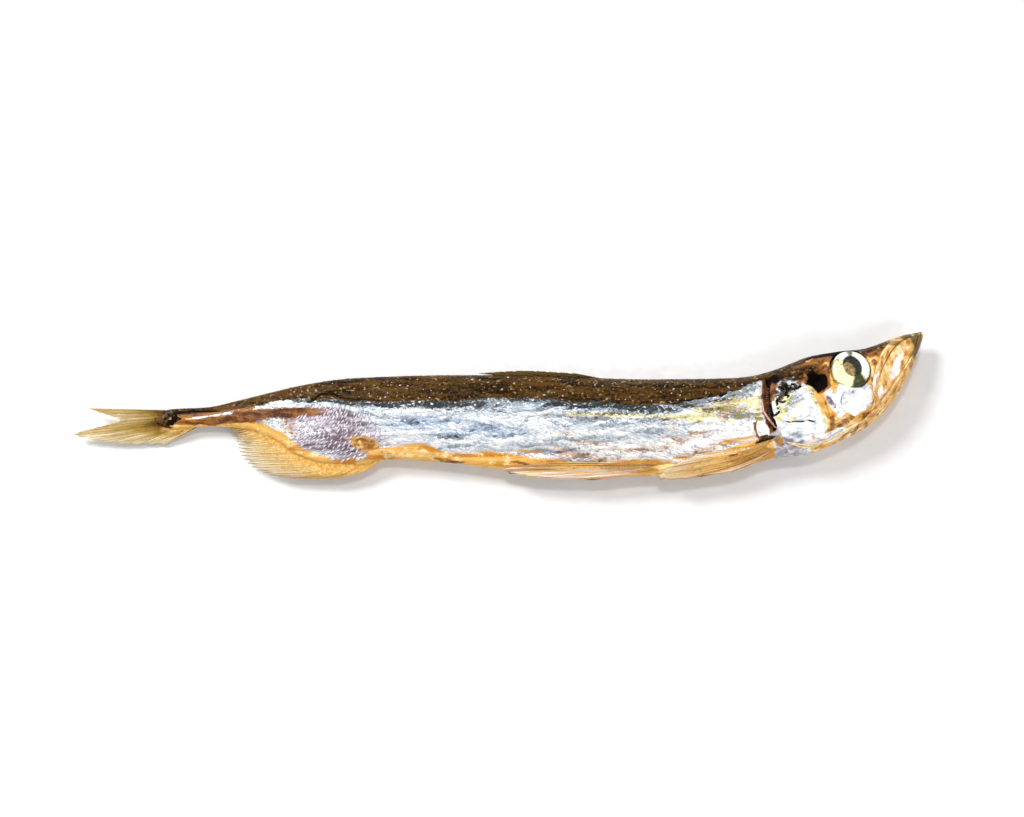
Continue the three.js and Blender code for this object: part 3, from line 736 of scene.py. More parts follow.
def ray_finish():
    """Fin rays: darker than the membrane, and of two tones from flesh to tip."""
    f = Finish("fin_ray_finish", IOR=1.4, Specular_IOR_Level=0.2, Roughness=0.4)
    mottle, reach = f.grain(0.6), f.mark("reach")
    warm = f.ramp(reach, (0.84, 0.50, 0.15), (0.1, 1.0, (0.44, 0.27, 0.07)))
    dull = f.ramp(reach, (0.10, 0.06, 0.006), (0.0, 0.8, (0.55, 0.37, 0.12)))
    colour = f.mix(f.mark("olive"), warm, dull)
    colour = f.mix(f.ease(mottle, 0.5, 0.7, 0.0, 0.35), colour, (0.24, 0.12, 0.02))
    f.give(Base_Color=colour, Normal=f.relief(mottle, 0.03))
    return f.material


def horn_finish():
    """Jaw bones and mouth skin: tan fibres along the bone, browner edges, slate snout, and pale patches, the
    largest a painted highlight on the mouth skin.
    """
    f = Finish("jaw_horn_finish", IOR=1.45, Specular_IOR_Level=0.22, Roughness=0.36)
    f.give(Coat_Weight=0.08, Coat_Roughness=0.12)
    u, mottle = f.mark("u"), f.grain(0.7, warp=0.5)
    fibre = f.fibres(f.times(f.mark("v"), 0.7), f.times(u, 2.2), f.mark("side"), 4.0)
    both = f.ruffle(fibre, mottle, 0.5)
    tan = f.ramp(both, (0.44, 0.19, 0.04), (0.34, 0.50, (0.76, 0.44, 0.14)), (0.50, 0.66, (0.92, 0.70, 0.38)))
    edge = f.ruffle(f.maths("ABSOLUTE", f.minus(u, 0.5)), mottle, 0.2)
    tan = f.mix(f.ease(edge, 0.38, 0.5, 0.0, 0.75), tan, (0.24, 0.09, 0.02))
    # Pale patches, the largest a painted highlight on the mouth skin.
    pale_patch_and_highlight = f.ruffle(f.mark("pearl"), both, 1.5)
    tan = f.stain(tan, f.ease(pale_patch_and_highlight, 0.25, 0.85), 0.92, (0.97, 0.93, 0.90))
    tan = f.stain(tan, f.ease(f.mark("slate"), 0.2, 0.8), 0.85, (0.07, 0.06, 0.03))
    f.give(Base_Color=tan, Normal=f.relief(f.plus(fibre, mottle), 0.06))
    return f.material


HORN, EYE_RING, WEB, RAY = horn_finish(), eye_ring_finish(), web_finish(), ray_finish()


# ---------------- trunk and skull, one skin
ROWS = 500
FLANK_COLUMNS = 76
GRID_FLOOR = 0.12  # the skin's underside, just above the board, under what lies on the skin


CROWDED, FLATTENED = 0.3, 0.45  # heights over the first, in mm, are brought down by the second


def skin_relief(s, n, side):
    """Furrows, ridges and drying wrinkles of the trunk, and the hollows of the head, in mm."""
    h = share_up(s, n)
    shown = width(s) * ease(s, 2, 20) * fall(s, 94, 104)
    seed = 11 if side > 0 else 12
    waver = 0.03 * rumple(s / 12, 0 * h, seed)
    large = -0.45 * bump(h, back_furrow(s) + waver, 0.06) + 0.4 * bump(h, flank_ridge(s) + waver, 0.09)
    large = large - 0.5 * bump(h, belly_fold(s) + waver, 0.05)
    drawn = 0.2 * rumple(s / 11, n / 1.3, seed + 2) + 0.12 * rumple(s / 5, n / 0.65, seed + 3)
    crisp = 0.16 * (1 - np.abs(rumple(s / 8 + 0.2 * n, n / 0.9, seed + 4))) ** 4
    crisp = crisp - 0.16 * (1 - np.abs(rumple(s / 9 + 0.1 * n, n / 1.1, seed + 10))) ** 5
    belly_crease = 0.12 * rumple(s / 3.5 + n / 3, n / 0.55, seed + 5) * bump(h, 0.1, 0.12)
    trunk = shown * (large + drawn + crisp + belly_crease)
    grain = 0.03 * rumple(s / 0.8, n / 0.5, seed + 6) + 0.02 * rumple(s / 0.45, n / 0.45, seed + 7)
    head = ease(s, 103, 106)
    skull = head * (0.12 * rumple(s / 2.6, n / 1.6, seed + 8) + 0.05 * rumple(s / 0.9, n / 0.9, seed + 9))
    slit = bump(s - GILL_LINE(n), 0.15, 0.6) * ease(n, -8.2, -6.4) * fall(n, 4.2, 5.6)
    pit_reach = np.hypot(s - PIT[0], n - PIT[1]) * (1 + 0.16 * rumple(s / 0.9, n / 0.9, 29))
    pit = ease(PIT_RADIUS + 0.35 - pit_reach, 0, 1.9)
    around_eye = np.hypot(s - EYE[0], n - EYE[1])
    socket = ease(EYE_RADIUS + 0.25 - around_eye, 0, 0.5)
    brow = 0.3 * bump(around_eye, EYE_RADIUS + 0.55, 0.4)
    hollows = -1.3 * slit - 2.3 * pit - 1.6 * socket + brow * (1 - pit)
    edge = 1 - np.abs(2 * h - 1) ** 10
    height = edge * (trunk + grain * ease(s, 0, 6) + skull * (1 - socket) + hollows)
    return np.where(height > CROWDED, CROWDED + FLATTENED * (height - CROWDED), height)


rows = np.linspace(TAIL_END, SPINE_LENGTH, ROWS + 1)[:, None]
ups = (1 - np.cos(np.linspace(0, math.pi, FLANK_COLUMNS + 1))) / 2
down_then_up = np.concatenate([ups[::-1], ups[1:-1]])[None, :]
sides = np.where(np.arange(2 * FLANK_COLUMNS) <= FLANK_COLUMNS, 1, -1)[None, :]
skin_n = lerp(belly(rows), back(rows), down_then_up)
skin_s = np.broadcast_to(rows, skin_n.shape)
raised = np.where(sides > 0, skin_relief(skin_s, skin_n, 1), skin_relief(skin_s, skin_n, -1))
skin_z = lie(skin_s) + sides * (half_thickness(skin_s, skin_n) + raised)
skin = lofted("skin", skin_s, skin_n, skin_z, SKIN, floor=GRID_FLOOR)
pieces = [skin]

skin_points = on_board(place(skin_s, skin_n, skin_z), GRID_FLOOR)
skin_across = np.roll(skin_points, -1, axis=1) - np.roll(skin_points, 1, axis=1)
skin_along = np.gradient(skin_points, axis=0)
skin_normals = np.cross(skin_across, skin_along)
skin_normals /= np.linalg.norm(skin_normals, axis=2, keepdims=True) + 1e-9
middle = skin_points.mean(axis=1, keepdims=True)
if np.sum((skin_points - middle) * skin_normals) < 0:
    skin_normals = -skin_normals


# ---------------- what repeats, by Geometry Nodes
SOCKET_KINDS = {float: "Float", int: "Int", type(None): "Material"}


class Tree(Nodes):
    """A Geometry Nodes tree with named inputs, run once over a guide to make a plain mesh."""

    def __init__(self, name, **inputs):
        super().__init__(bpy.data.node_groups.new(name, "GeometryNodeTree"))
        face = self.tree.interface
        face.new_socket("Geometry", in_out="INPUT", socket_type="NodeSocketGeometry")
        face.new_socket("Geometry", in_out="OUTPUT", socket_type="NodeSocketGeometry")
        self.ids = {}
        for label, value in {**inputs, "Seed": 1, "Material": None}.items():
            kind = "NodeSocket" + SOCKET_KINDS[type(value)]
            socket = face.new_socket(label.replace("_", " "), in_out="INPUT", socket_type=kind)
            if value is not None:
                socket.default_value = value
            self.ids[label] = socket.identifier
        self.given = self.tree.nodes.new("NodeGroupInput").outputs
        self.result = self.tree.nodes.new("NodeGroupOutput").inputs[0]

    def named(self, name, kind="FLOAT"):
        node = self.add("GeometryNodeInputNamedAttribute", {"data_type": kind}, Name=name)
        return node.outputs["Attribute"]

    def chance(self, low, high, salt):
        """A fixed random number for each point: salt sets it apart from the others."""
        node = self.add("FunctionNodeRandomValue", {"data_type": "FLOAT"})
        sockets = {socket.identifier: socket for socket in node.inputs}
        self.join(sockets["Min_001"], low)
        self.join(sockets["Max_001"], high)
        self.join(sockets["Seed"], self.plus(self.given["Seed"], salt))
        return node.outputs[1]

    def close(self, geometry):
        realized = self.add("GeometryNodeRealizeInstances", Geometry=geometry).outputs[0]
        smooth = self.add("GeometryNodeSetShadeSmooth", Geometry=realized).outputs[0]
        finished = self.add("GeometryNodeSetMaterial", Geometry=smooth, Material=self.given["Material"])
        self.tree.links.new(finished.outputs[0], self.result)

    def grow(self, mesh, name, **values):
        """Runs the tree over a guide mesh and keeps the result as a plain piece."""
        guide = put_in_scene(name + "_guide", mesh)
        modifier = guide.modifiers.new(name, "NODES")
        modifier.node_group = self.tree
        for label, value in values.items():
            modifier[self.ids[label]] = value
        graph = bpy.context.evaluated_depsgraph_get()
        grown = bpy.data.meshes.new_from_object(guide.evaluated_get(graph), depsgraph=graph)
        guide.modifiers.remove(modifier)
        bpy.data.objects.remove(guide)
        return put_in_scene(name, grown)


def scale_tree():
    """Small flat scales with bevelled rims, each laid on the skin with its free edge a little up."""
    tree = Tree("scales", Length=1.0, Breadth=0.8, Dome=0.1, Crown=0.8, Lift=6.0, Unevenness=4.0)
    given = tree.given
    crown = tree.times(given["Crown"], 0.5)
    disc = tree.add("GeometryNodeMeshCone", Vertices=7, Radius_Top=crown, Radius_Bottom=0.5, Depth=1.0)
    size = tree.add("ShaderNodeCombineXYZ", X=given["Length"], Y=given["Breadth"], Z=given["Dome"]).outputs[0]
    size = tree.add("ShaderNodeVectorMath", {"operation": "SCALE"}, Vector=size, Scale=MM).outputs[0]
    scale = tree.add("GeometryNodeTransform", Geometry=disc.outputs["Mesh"], Scale=size).outputs[0]
    lying = tree.add("FunctionNodeAxesToRotation", {"primary_axis": "Z", "secondary_axis": "X"})
    tree.join(lying.inputs[0], tree.named("outward", "FLOAT_VECTOR"))
    tree.join(lying.inputs[1], tree.named("headward", "FLOAT_VECTOR"))
    wild = given["Unevenness"]
    tame = tree.times(wild, -1.0)
    pitch = tree.plus(given["Lift"], tree.chance(tame, wild, 1))
    roll = tree.chance(tame, wild, 2)
    yaw = tree.times(tree.chance(tame, wild, 3), 2.0)
    turns = [tree.maths("RADIANS", angle) for angle in (roll, pitch, yaw)]
    euler = tree.add("ShaderNodeCombineXYZ", X=turns[0], Y=turns[1], Z=turns[2]).outputs[0]
    turn = tree.add("FunctionNodeEulerToRotation", Euler=euler).outputs[0]
    both = tree.add(
        "FunctionNodeRotateRotation", {"rotation_space": "LOCAL"}, Rotation=lying.outputs[0], Rotate_By=turn)
    points = tree.add("GeometryNodeMeshToPoints", Mesh=given["Geometry"]).outputs[0]
    grown = tree.times(tree.named("size"), tree.chance(0.7, 1.2, 4))
    laid = tree.add(
        "GeometryNodeInstanceOnPoints", Points=points, Instance=scale, Rotation=both.outputs[0], Scale=grown)
    # A random shade for each scale, read by its finish as partly random tone and partly painted glint.
    shaded = tree.add(
        "GeometryNodeStoreNamedAttribute", {"data_type": "FLOAT", "domain": "INSTANCE"},
        Geometry=laid.outputs[0], Name="shade", Value=tree.chance(0.0, 1.0, 5))
    tree.close(shaded.outputs[0])
    return tree


A_LITTLE = 0.001


def skin_at(s, n, side):
    """Point, outward direction and headward direction of the finished skin, for arrays of s and n."""
    columns = np.arange(FLANK_COLUMNS, -1, -1) if side > 0 else np.r_[FLANK_COLUMNS:2 * FLANK_COLUMNS, 0]
    row = np.clip((s - TAIL_END) / (SPINE_LENGTH - TAIL_END) * ROWS, 0, ROWS - 1 - A_LITTLE)
    turn = np.arccos(np.clip(1 - 2 * share_up(s, n), -1, 1)) / math.pi * FLANK_COLUMNS
    i, j = row.astype(int), np.minimum(turn.astype(int), FLANK_COLUMNS - 1)
    fi, fj = (row - i)[:, None], (turn - j)[:, None]

    def read(grid):
        near, far = (lerp(grid[k, columns[j]], grid[k, columns[j + 1]], fj) for k in (i, i + 1))
        return lerp(near, far, fi)

    return read(skin_points), read(skin_normals), read(skin_along)


SCALE_TREE = scale_tree()


def strew(name, s, n, side, size, marks, material, floor=0.0, rise=0.0, lean=None, **shape):
    """Small plates over places of one flank, turned towards the head or along a lean."""
    points, outward, headward = skin_at(s, n, side)
    vectors = {"outward": outward, "headward": headward if lean is None else lean}
    points = on_board(points + outward * rise, floor)
    bed = new_mesh(name + "_bed", points, [], [], {"size": size, "along": s, "across": n, **marks}, vectors)
    pieces.append(SCALE_TREE.grow(bed, name, Material=material, **shape))


SCALES_FROM, SCALES_TO = 5.0, 103.6
SCALE_PITCH = 0.64  # along the fish, between rows of scales
SCALE_STEP = 0.52  # up the flank, between scales of a row


def dashed(s, n):
    """Where rows of dashes cover the swollen root of the anal fin."""
    return spot(s, n, (28.4, -2.2), (8.7, 4.5), -18) - spot(s, n, (34.4, -4.9), (3.2, 1.3), -14)


def scale_places(side):
    """Staggered rows of scales, evenly spaced round the flank."""
    found_s, found_n = [], []
    for k, s in enumerate(np.arange(SCALES_FROM, SCALES_TO, SCALE_PITCH)):
        line_n = lerp(belly(s), back(s), ups)
        line_z = half_thickness(s, line_n)
        arc = np.concatenate([[0], np.cumsum(np.hypot(np.diff(line_n), np.diff(line_z)))])
        stops = np.arange(0.4 + SCALE_STEP / 2 * (k % 2), arc[-1] - 0.3, SCALE_STEP)
        n = np.interp(stops, arc, line_n)
        found_n.append(n)
        found_s.append(np.full(len(n), s))
    s, n = np.concatenate(found_s), np.concatenate(found_n)
    s, n = s + 0.22 * rumple(s / 0.37, n / 0.31, 31), n + 0.16 * rumple(s / 0.33, n / 0.37, 32)
    fields = paint(s, n)
    size = lerp(1.0, 0.7, fields["umber"]) * lerp(1.0, 0.55, fields["amber"])
    size = size * lerp(1.0, 0.6, fields["rust"]) * ease(s, 4, 12)
    bare = (fields["amber"] > 0.6) & (rumple(s / 0.4, n / 0.4, 33) > -0.3)
    gap = s > GILL_LINE(n) - 1.3
    worn_off = rumple(s / 2.2, n / 0.8, 34) + 0.7 * rumple(s / 0.41, n / 0.43, 35) > 0.42
    under_dashes = (dashed(s, n) > 0.35) & (n < back_line(s) - 1.2)
    keep = ~bare & ~gap & ~worn_off & ~under_dashes & (size > 0.2)
    return s[keep], n[keep], size[keep]


for side, label in FLANKS:
    s, n, size = scale_places(side)
    strew("scales_" + label, s, n, side, size, paint(s, n), SCALE, Length=1.05, Breadth=0.6, Dome=0.035,
          Crown=0.72, Lift=2.5, Unevenness=3.0, Seed=7 + side)

# Rows of raised dashes, painted pearly white as highlights on their ridges, fan out over the swollen root of
# the anal fin.
FAN_HUB = (15.5, 4.5)
FAN_ANGLES = np.radians(np.arange(-80, -2, 2.7))
FAN_SQUASH = 0.75
DASH_PITCH = 0.9
DASH_FLOOR, DASH_RISE = 0.34, 0.03
for side, label in FLANKS:
    angles, reaches = np.meshgrid(FAN_ANGLES, np.arange(7.5, 24.0, DASH_PITCH), indexing="ij")
    reaches = reaches + 0.5 * DASH_PITCH * (np.arange(angles.shape[0]) % 2)[:, None]
    s = (FAN_HUB[0] + reaches * np.cos(angles)).ravel()
    n = (FAN_HUB[1] + reaches * np.sin(angles) * FAN_SQUASH).ravel()
    inside = (dashed(s, n) > 0.35) & (n < back_line(s) - 1.2) & (n > belly(s) + 0.4)
    inside &= (rumple(s / 0.7, n / 0.7, 41) > -0.55) & (paint(s, n)["rust"] < 0.4)
    s, n, slant = s[inside], n[inside], angles.ravel()[inside]
    lean = place(s - 0.3 * np.sin(slant), n + 0.3 * np.cos(slant), 0 * s) - place(s, n, 0 * s)
    size = 1.0 + 0.3 * rumple(s / 2, n / 2, 42)
    strew("fin_root_dashes_" + label, s, n, side, size, paint(s, n), DASH, DASH_FLOOR, DASH_RISE, lean,
          Length=1.3, Breadth=0.34, Dome=0.11, Crown=0.3, Lift=2.0, Unevenness=9.0, Seed=17 + side)


# ---------------- plates of the head
PLATE_ROOT, STRIP_ROOT = -0.7, -0.8  # how deep plates and strips are sunk, in mm


def plate(name, outline, side, lift, relief, material, marks, rings=34, around=132):
    """A low dome over an outline of the side view, sunk into the flesh round its rim."""
    rim = run(outline, closed=True)(np.arange(around) / around)
    centre = rim.mean(axis=0)
    inner = np.linspace(1, 0.02, rings)
    shares = np.concatenate([[0.7, 0.99], inner])[:, None]
    s = lerp(centre[0], rim[:, 0][None, :], shares)
    n = lerp(centre[1], rim[:, 1][None, :], shares)
    dome = lift * (1 - 0.55 * inner[:, None] ** 6) * (1 + 0.3 * (1 - inner[:, None] ** 2))
    raised = np.concatenate([np.full((2, around), PLATE_ROOT), dome + relief(s[2:], n[2:])])
    z = lie(s) + side * (half_thickness(s, n) + raised)
    around_it = paint(s, n)
    own = ease(1 - shares + 0.12 * rumple(s / 0.8, n / 0.8, 98), 0.02, 0.22)
    fields = {key: lerp(around_it[key], values(s, n), own) for key, values in marks.items()}
    return lofted(name, s, n, z, material, fields)


def between(name, upper, lower, side, rise, relief, material, marks=None, along=90, across=22):
    """A domed strip between two edges of the side view, sunk into the flesh along both."""
    v = np.linspace(0, 1, along)[:, None]
    u = np.linspace(0, 1, across)[None, :]
    first, second = run(upper)(v), run(lower)(v)
    s = lerp(first[..., 0], second[..., 0], u)
    n = lerp(first[..., 1], second[..., 1], u)
    dome = rise * np.sin(math.pi * u) ** 0.6
    top = dome + relief(s, n, u, v) - 0.05 + np.maximum(skin_relief(s, n, side), 0)
    s2, n2 = np.concatenate([s, s[:, ::-1]], 1), np.concatenate([n, n[:, ::-1]], 1)
    raised = np.concatenate([top, np.full_like(top, STRIP_ROOT)], 1)
    z = lie(s2) + side * (half_thickness(s2, n2) + raised)
    steps = np.hypot(*np.diff((first + second)[:, 0] / 2, axis=0).T)
    length = np.concatenate([[0], np.cumsum(steps)])[:, None]
    fields = {key: values(s2, n2) for key, values in (marks or {}).items()}
    fields["u"] = np.concatenate([0 * s + u, 0 * s + u[:, ::-1]], 1)
    fields["v"] = length + 0 * s2
    fields["side"] = 0 * s2 + side * 3.0
    return lofted(name, s2, n2, z, material, fields)


GILL_COVER = [
    (106.8, 2.7), (105.1, -0.2), (104.6, -3.1), (105.3, -5.7), (107.7, -8.0), (110.6, -8.8),
    (112.7, -7.6), (113.4, -5.3), (113.8, -2.4), (113.2, 0.2), (111.5, 2.6), (109.2, 3.7),
]
CHEEK = [
    (116.3, -1.9), (115.6, -4.9), (116.3, -7.6), (118.4, -8.4), (120.8, -7.4), (122.6, -5.2), (122.4, -4.1),
    (120.7, -3.7), (119.2, -3.0), (118.2, -1.9), (117.3, -1.2),
]
UPPER_JAW = (
    [(133.9, 1.1), (132.6, 1.45), (130.8, 1.6), (128.7, 1.0), (126.9, 0.1), (125.4, -1.2), (124.1, -2.5),
     (123.0, -3.8), (122.3, -5.0), (122.2, -6.3)],
    [(133.6, 0.5), (132.7, 0.5), (131.2, 0.4), (129.0, -0.3), (127.3, -1.4), (125.8, -2.5), (124.5, -3.6),
     (123.5, -4.8), (122.9, -5.8), (122.7, -6.7)],
)
LOWER_JAW = (
    [(135.2, 0.35), (133.0, -1.7), (130.2, -3.5), (127.4, -5.0), (124.4, -6.6), (121.6, -7.9), (117.6, -9.1)],
    [(135.6, 0.0), (133.8, -2.0), (131.2, -4.1), (128.3, -6.0), (125.0, -7.8), (121.4, -9.1), (117.2, -9.7)],
)
MOUTH_SKIN = (
    [(134.9, 0.6), (132.7, 0.6), (131.2, 0.5), (129.0, -0.2), (127.2, -1.3), (125.7, -2.4), (124.4, -3.5),
     (123.4, -4.7), (122.7, -5.9)],
    [(135.0, 0.3), (133.6, -1.2), (131.0, -3.3), (129.4, -4.3), (127.4, -5.3), (124.7, -6.7), (122.4, -7.8),
     (121.0, -8.3), (120.2, -8.4)],
)


def nothing(s, n):
    return 0 * s


def only(**marks):
    """The colour fields of a plate: those given, and none of the others."""
    return {**dict.fromkeys(PAINTS, nothing), **marks}


def cover_relief(s, n):
    """Growth lines round the gill cover's hinge, and the crease across it."""
    reach = np.hypot(s - 112.8, n - 2.4)
    lines = 0.05 * np.sin(reach * 5.2 + 0.8 * rumple(s / 1.5, n / 1.5, 51))
    crease = -0.25 * bump(cover_crease(s, n), 0, 0.22) * bump(s, 108.3, 2.4)
    return lines + crease + 0.12 * rumple(s / 2.0, n / 1.2, 53)


def cheek_relief(s, n):
    return 0.1 * rumple(s / 1.8, n / 1.4, 54) + 0.03 * np.sin((s + n) * 3.2)


def cover_crease(s, n):
    return n + 4.2 + 0.39 * (s - 108.5) + 0.35 * rumple(s / 0.9, 0 * n, 52)


def cover_marks():
    """Black, silver and gold above with a painted blue-white highlight, a bright middle with painted shade in
    its crease, and a lilac lower edge.
    """
    def upper(s, n, level):
        ragged = 0.9 * rumple(s / 1.1, n / 0.9, 55) - 0.55 * (s - 109)
        return ease(n + ragged, level - 0.4, level + 0.4)

    def slate(s, n):
        return 0.9 * upper(s, n, 0.9)

    def specks(s, n):
        return patchy(s, n, 0.4, 0.35, 61, 0.2, 0.45)

    def silver(s, n):
        # A painted highlight, blue-white, on the upper cover.
        gleam = over(spot(s, n, (111.2, 1.3), (1.3, 0.55), -50), spot(s, n, (110.0, 2.2), (0.8, 0.3), -10))
        ivory = patchy(s, n, 1.1, 0.8, 62, -0.1, 0.5)
        return over(ivory * (1 - upper(s, n, 0.4)), 0.95 * gleam, 0.5 * specks(s, n))

    def char(s, n):
        broken = patchy(s, n, 0.55, 2, 65, -0.9, -0.3)
        # painted shade in the crease across the cover, and in its fork
        crease = bump(cover_crease(s, n), 0, 0.2) * bump(s, 108.0, 2.6) * broken
        fork = spot(s, n, (109.9, -4.2), (0.7, 0.14), 10) + spot(s, n, (110.3, -5.3), (0.7, 0.16), -40)
        blots = rumple(s / 0.55, n / 0.5, 57) + 0.6 * rumple(s / 1.6, n / 1.3, 69)
        mottle = ease(blots, -0.4, 0.1) * upper(s, n, 0.3) * (1 - specks(s, n))
        lines = spot(s, n, (107.8, -6.8), (1.0, 0.12), -58) + 0.7 * spot(s, n, (108.8, -5.6), (0.8, 0.1), 60)
        dots = patchy(s, n, 0.35, 0.3, 68, 0.55, 0.75) * ease(n, -2.4, -0.6)
        return over(0.95 * crease, 0.7 * fork, 0.97 * mottle, 0.5 * lines, 0.8 * dots)

    def straw(s, n):
        golden = patchy(s, n, 0.7, 0.6, 66, -0.3, 0.2) * (1 - upper(s, n, 2.6)) * ease(n, -4.6, -3.6)
        veil = 0.45 * patchy(s, n, 2.2, 1.5, 67, -0.2, 0.5) * ease(n, -5, -3.5)
        ahead = 0.8 * ease(s + 0.4 * rumple(s, n, 70), 111.2, 112.4) * (n < 0.5)
        ahead = ahead * patchy(s, n, 1.0, 0.8, 72, -0.5, 0.2)
        behind = 0.8 * golden * ease(-s, -110.0, -107.5)
        return over(behind, veil, ahead, 0.9 * specks(s, n) * upper(s, n, 0.0))

    def umber(s, n):
        return 0.7 * upper(s, n, 0.4) * patchy(s, n, 0.8, 0.7, 71, -0.6, -0.1) * (1 - specks(s, n))

    def amber(s, n):
        return 0.7 * ease(s + 0.5 * rumple(s / 0.8, n / 0.8, 73), 111.9, 112.9) * ease(-n, -0.8, 0.4)

    def rose(s, n):
        return 0.95 * ease(-n - 0.6 * (s - 107) + 0.3 * rumple(s / 1.0, n, 60), 7.2, 8.0)

    def steel(s, n):
        # the blue of the painted highlight
        return 0.9 * spot(s, n, (111.6, 2.2), (0.8, 0.5), -40)

    def pearl(s, n):
        return silver(s, n) * (1 - straw(s, n)) * (1 - rose(s, n)) * (1 - steel(s, n))

    return only(
        slate=slate, char=char, straw=straw, rose=rose, steel=steel, umber=umber, amber=amber, pearl=pearl)


def cheek_marks():
    """White, with a blue-grey line round its rear edge and a small grey mark under the eye."""
    def line(s, n):
        return 0.9 * bump(np.hypot((s - 119.0) / 3.3, (n + 5.4) / 2.6), 0.9, 0.05) * ease(-s, -118.0, -116.4)

    return only(
        pearl=lambda s, n: 1 - 0.9 * line(s, n), slate=line,
        char=lambda s, n: 0.55 * spot(s, n, (118.9, -3.9), (0.4, 0.25), 40))


HORN_MARKS = {
    "slate": lambda s, n: over(0.95 * ease(s, 130.8, 132.8), 0.6 * spot(s, n, (130.3, 0.6), (1.8, 0.6), -25)),
    "pearl": lambda s, n: 0.7 * spot(s, n, (123.8, -3.9), (1.6, 0.8), 50),
}


def mouth_pearl_and_highlight(s, n):
    # The largest spot is a painted highlight on the mouth skin.
    return over(
        0.95 * spot(s, n, (128.2, -3.3), (2.7, 0.8), 40), 0.8 * spot(s, n, (123.7, -6.0), (1.2, 0.7), 40),
        0.35 * spot(s, n, (131.6, -0.8), (1.6, 0.5), 40))


MOUTH_MARKS = {"slate": lambda s, n: 0.9 * ease(s, 132.3, 133.8), "pearl": mouth_pearl_and_highlight}


def jaw_relief(s, n, u, v):
    return 0.07 * np.sin(u * 9 + 1.5 * rumple(v * 4, 0 * u, 63)) + 0.08 * rumple(s / 2.0, n / 0.8, 64)


def around_to(turn, centre):
    """The angle from a centre, between minus and plus half a turn."""
    return (turn - centre + math.pi) % (2 * math.pi) - math.pi


EYE_LEAN = 0.25  # how far the eye leans in, in mm for each mm towards the back


def turned(name, profile, centres, side, material, around, oval):
    """A round piece of the eye from a profile of radius and height over the skin.

    Its rim lies round the first centre, and its inside, drawn out to an oval, round the second.
    """
    fine = run(profile)(np.linspace(0, 1, 44))
    radius, height = fine[:, :1], fine[:, 1:]
    share = np.clip((EYE_RADIUS - radius) / (EYE_RADIUS - PUPIL_RADIUS), 0, 1)
    (s0, n0), (s1, n1) = centres
    turn = 2 * math.pi * np.arange(around)[None, :] / around
    s = lerp(s0, s1, share) + radius * np.cos(turn) * lerp(1.0, oval[0], share)
    n = lerp(n0, n1, share) + radius * np.sin(turn) * lerp(1.0, oval[1], share)
    uneven = rumple(2 + 1.6 * np.cos(turn) + 0 * radius, 1.6 * np.sin(turn) + radius, 88)
    height = height + 0.07 * uneven
    base = lie(EYE[0]) + side * half_thickness(*EYE)
    z = base + side * (height - EYE_LEAN * (n - EYE[1]))
    # Painted light over the ring: darker below, towards the jaw, and in two places above.
    painted_light = 1.1 - 1.15 * bump(around_to(turn, -1.6), 0, 0.62) - 0.8 * bump(around_to(turn, 1.12), 0, 0.38)
    painted_light = painted_light - 0.75 * bump(around_to(turn, 2.35), 0.25 * np.sin(radius * 4), 0.16)
    white = 0.5 + 0.7 * np.cos(turn - 0.5) + 0 * radius
    fields = {"radius": radius / EYE_RADIUS + 0 * turn, "painted_light": painted_light, "white": white}
    return lofted(name, s, n, z, material, fields)


# Profiles of the eye's parts: shares of the eye's or the pupil's radius, and heights in mm.
LENS_PLACE = (120.45, -0.05)
PUPIL_OVAL, LENS_OVAL = (0.86, 1.16), (0.85, 1.2)
RING_RIM = [(0.6, -2.2), (1.0, -1.7), (1.0, -0.7), (0.96, -0.3), (0.87, -0.06), (0.74, 0.08), (0.6, 0.1)]
RING_INSIDE = [(1.02, 0.02), (0.93, -0.16), (0.85, -0.4), (0.2, -0.45)]
PUPIL_PROFILE = [(0.9, -1.2), (0.97, -0.45), (0.6, -0.28), (0.05, -0.24)]
LENS_PROFILE = [(0.5, -0.9), (0.68, -0.3), (0.64, -0.02), (0.4, 0.1), (0.04, 0.13)]


def sized(profile, radius):
    return [(share * radius, height) for share, height in profile]


RING_PROFILE = sized(RING_RIM, EYE_RADIUS) + sized(RING_INSIDE, PUPIL_RADIUS)
for side, label in HANDS:
    pieces += [
        plate("gill_cover_" + label, GILL_COVER, side, 0.4, cover_relief, PLATE, cover_marks()),
        plate("cheek_" + label, CHEEK, side, 0.3, cheek_relief, PLATE, cheek_marks()),
        between("upper_jaw_" + label, *UPPER_JAW, side, 0.45, jaw_relief, HORN, HORN_MARKS),
        between("mouth_skin_" + label, *MOUTH_SKIN, side, 0.22, jaw_relief, HORN, MOUTH_MARKS),
        between("lower_jaw_" + label, *LOWER_JAW, side, 0.45, jaw_relief, HORN, HORN_MARKS),
        turned("eye_" + label, RING_PROFILE, (EYE, PUPIL), side, EYE_RING, around=72, oval=PUPIL_OVAL),
        turned("pupil_" + label, sized(PUPIL_PROFILE, PUPIL_RADIUS), (PUPIL, PUPIL), side, PUPIL_FINISH,
               around=40, oval=PUPIL_OVAL),
        turned("lens_" + label, sized(LENS_PROFILE, PUPIL_RADIUS), (LENS_PLACE, LENS_PLACE), side, LENS,
               around=40, oval=LENS_OVAL),
    ]


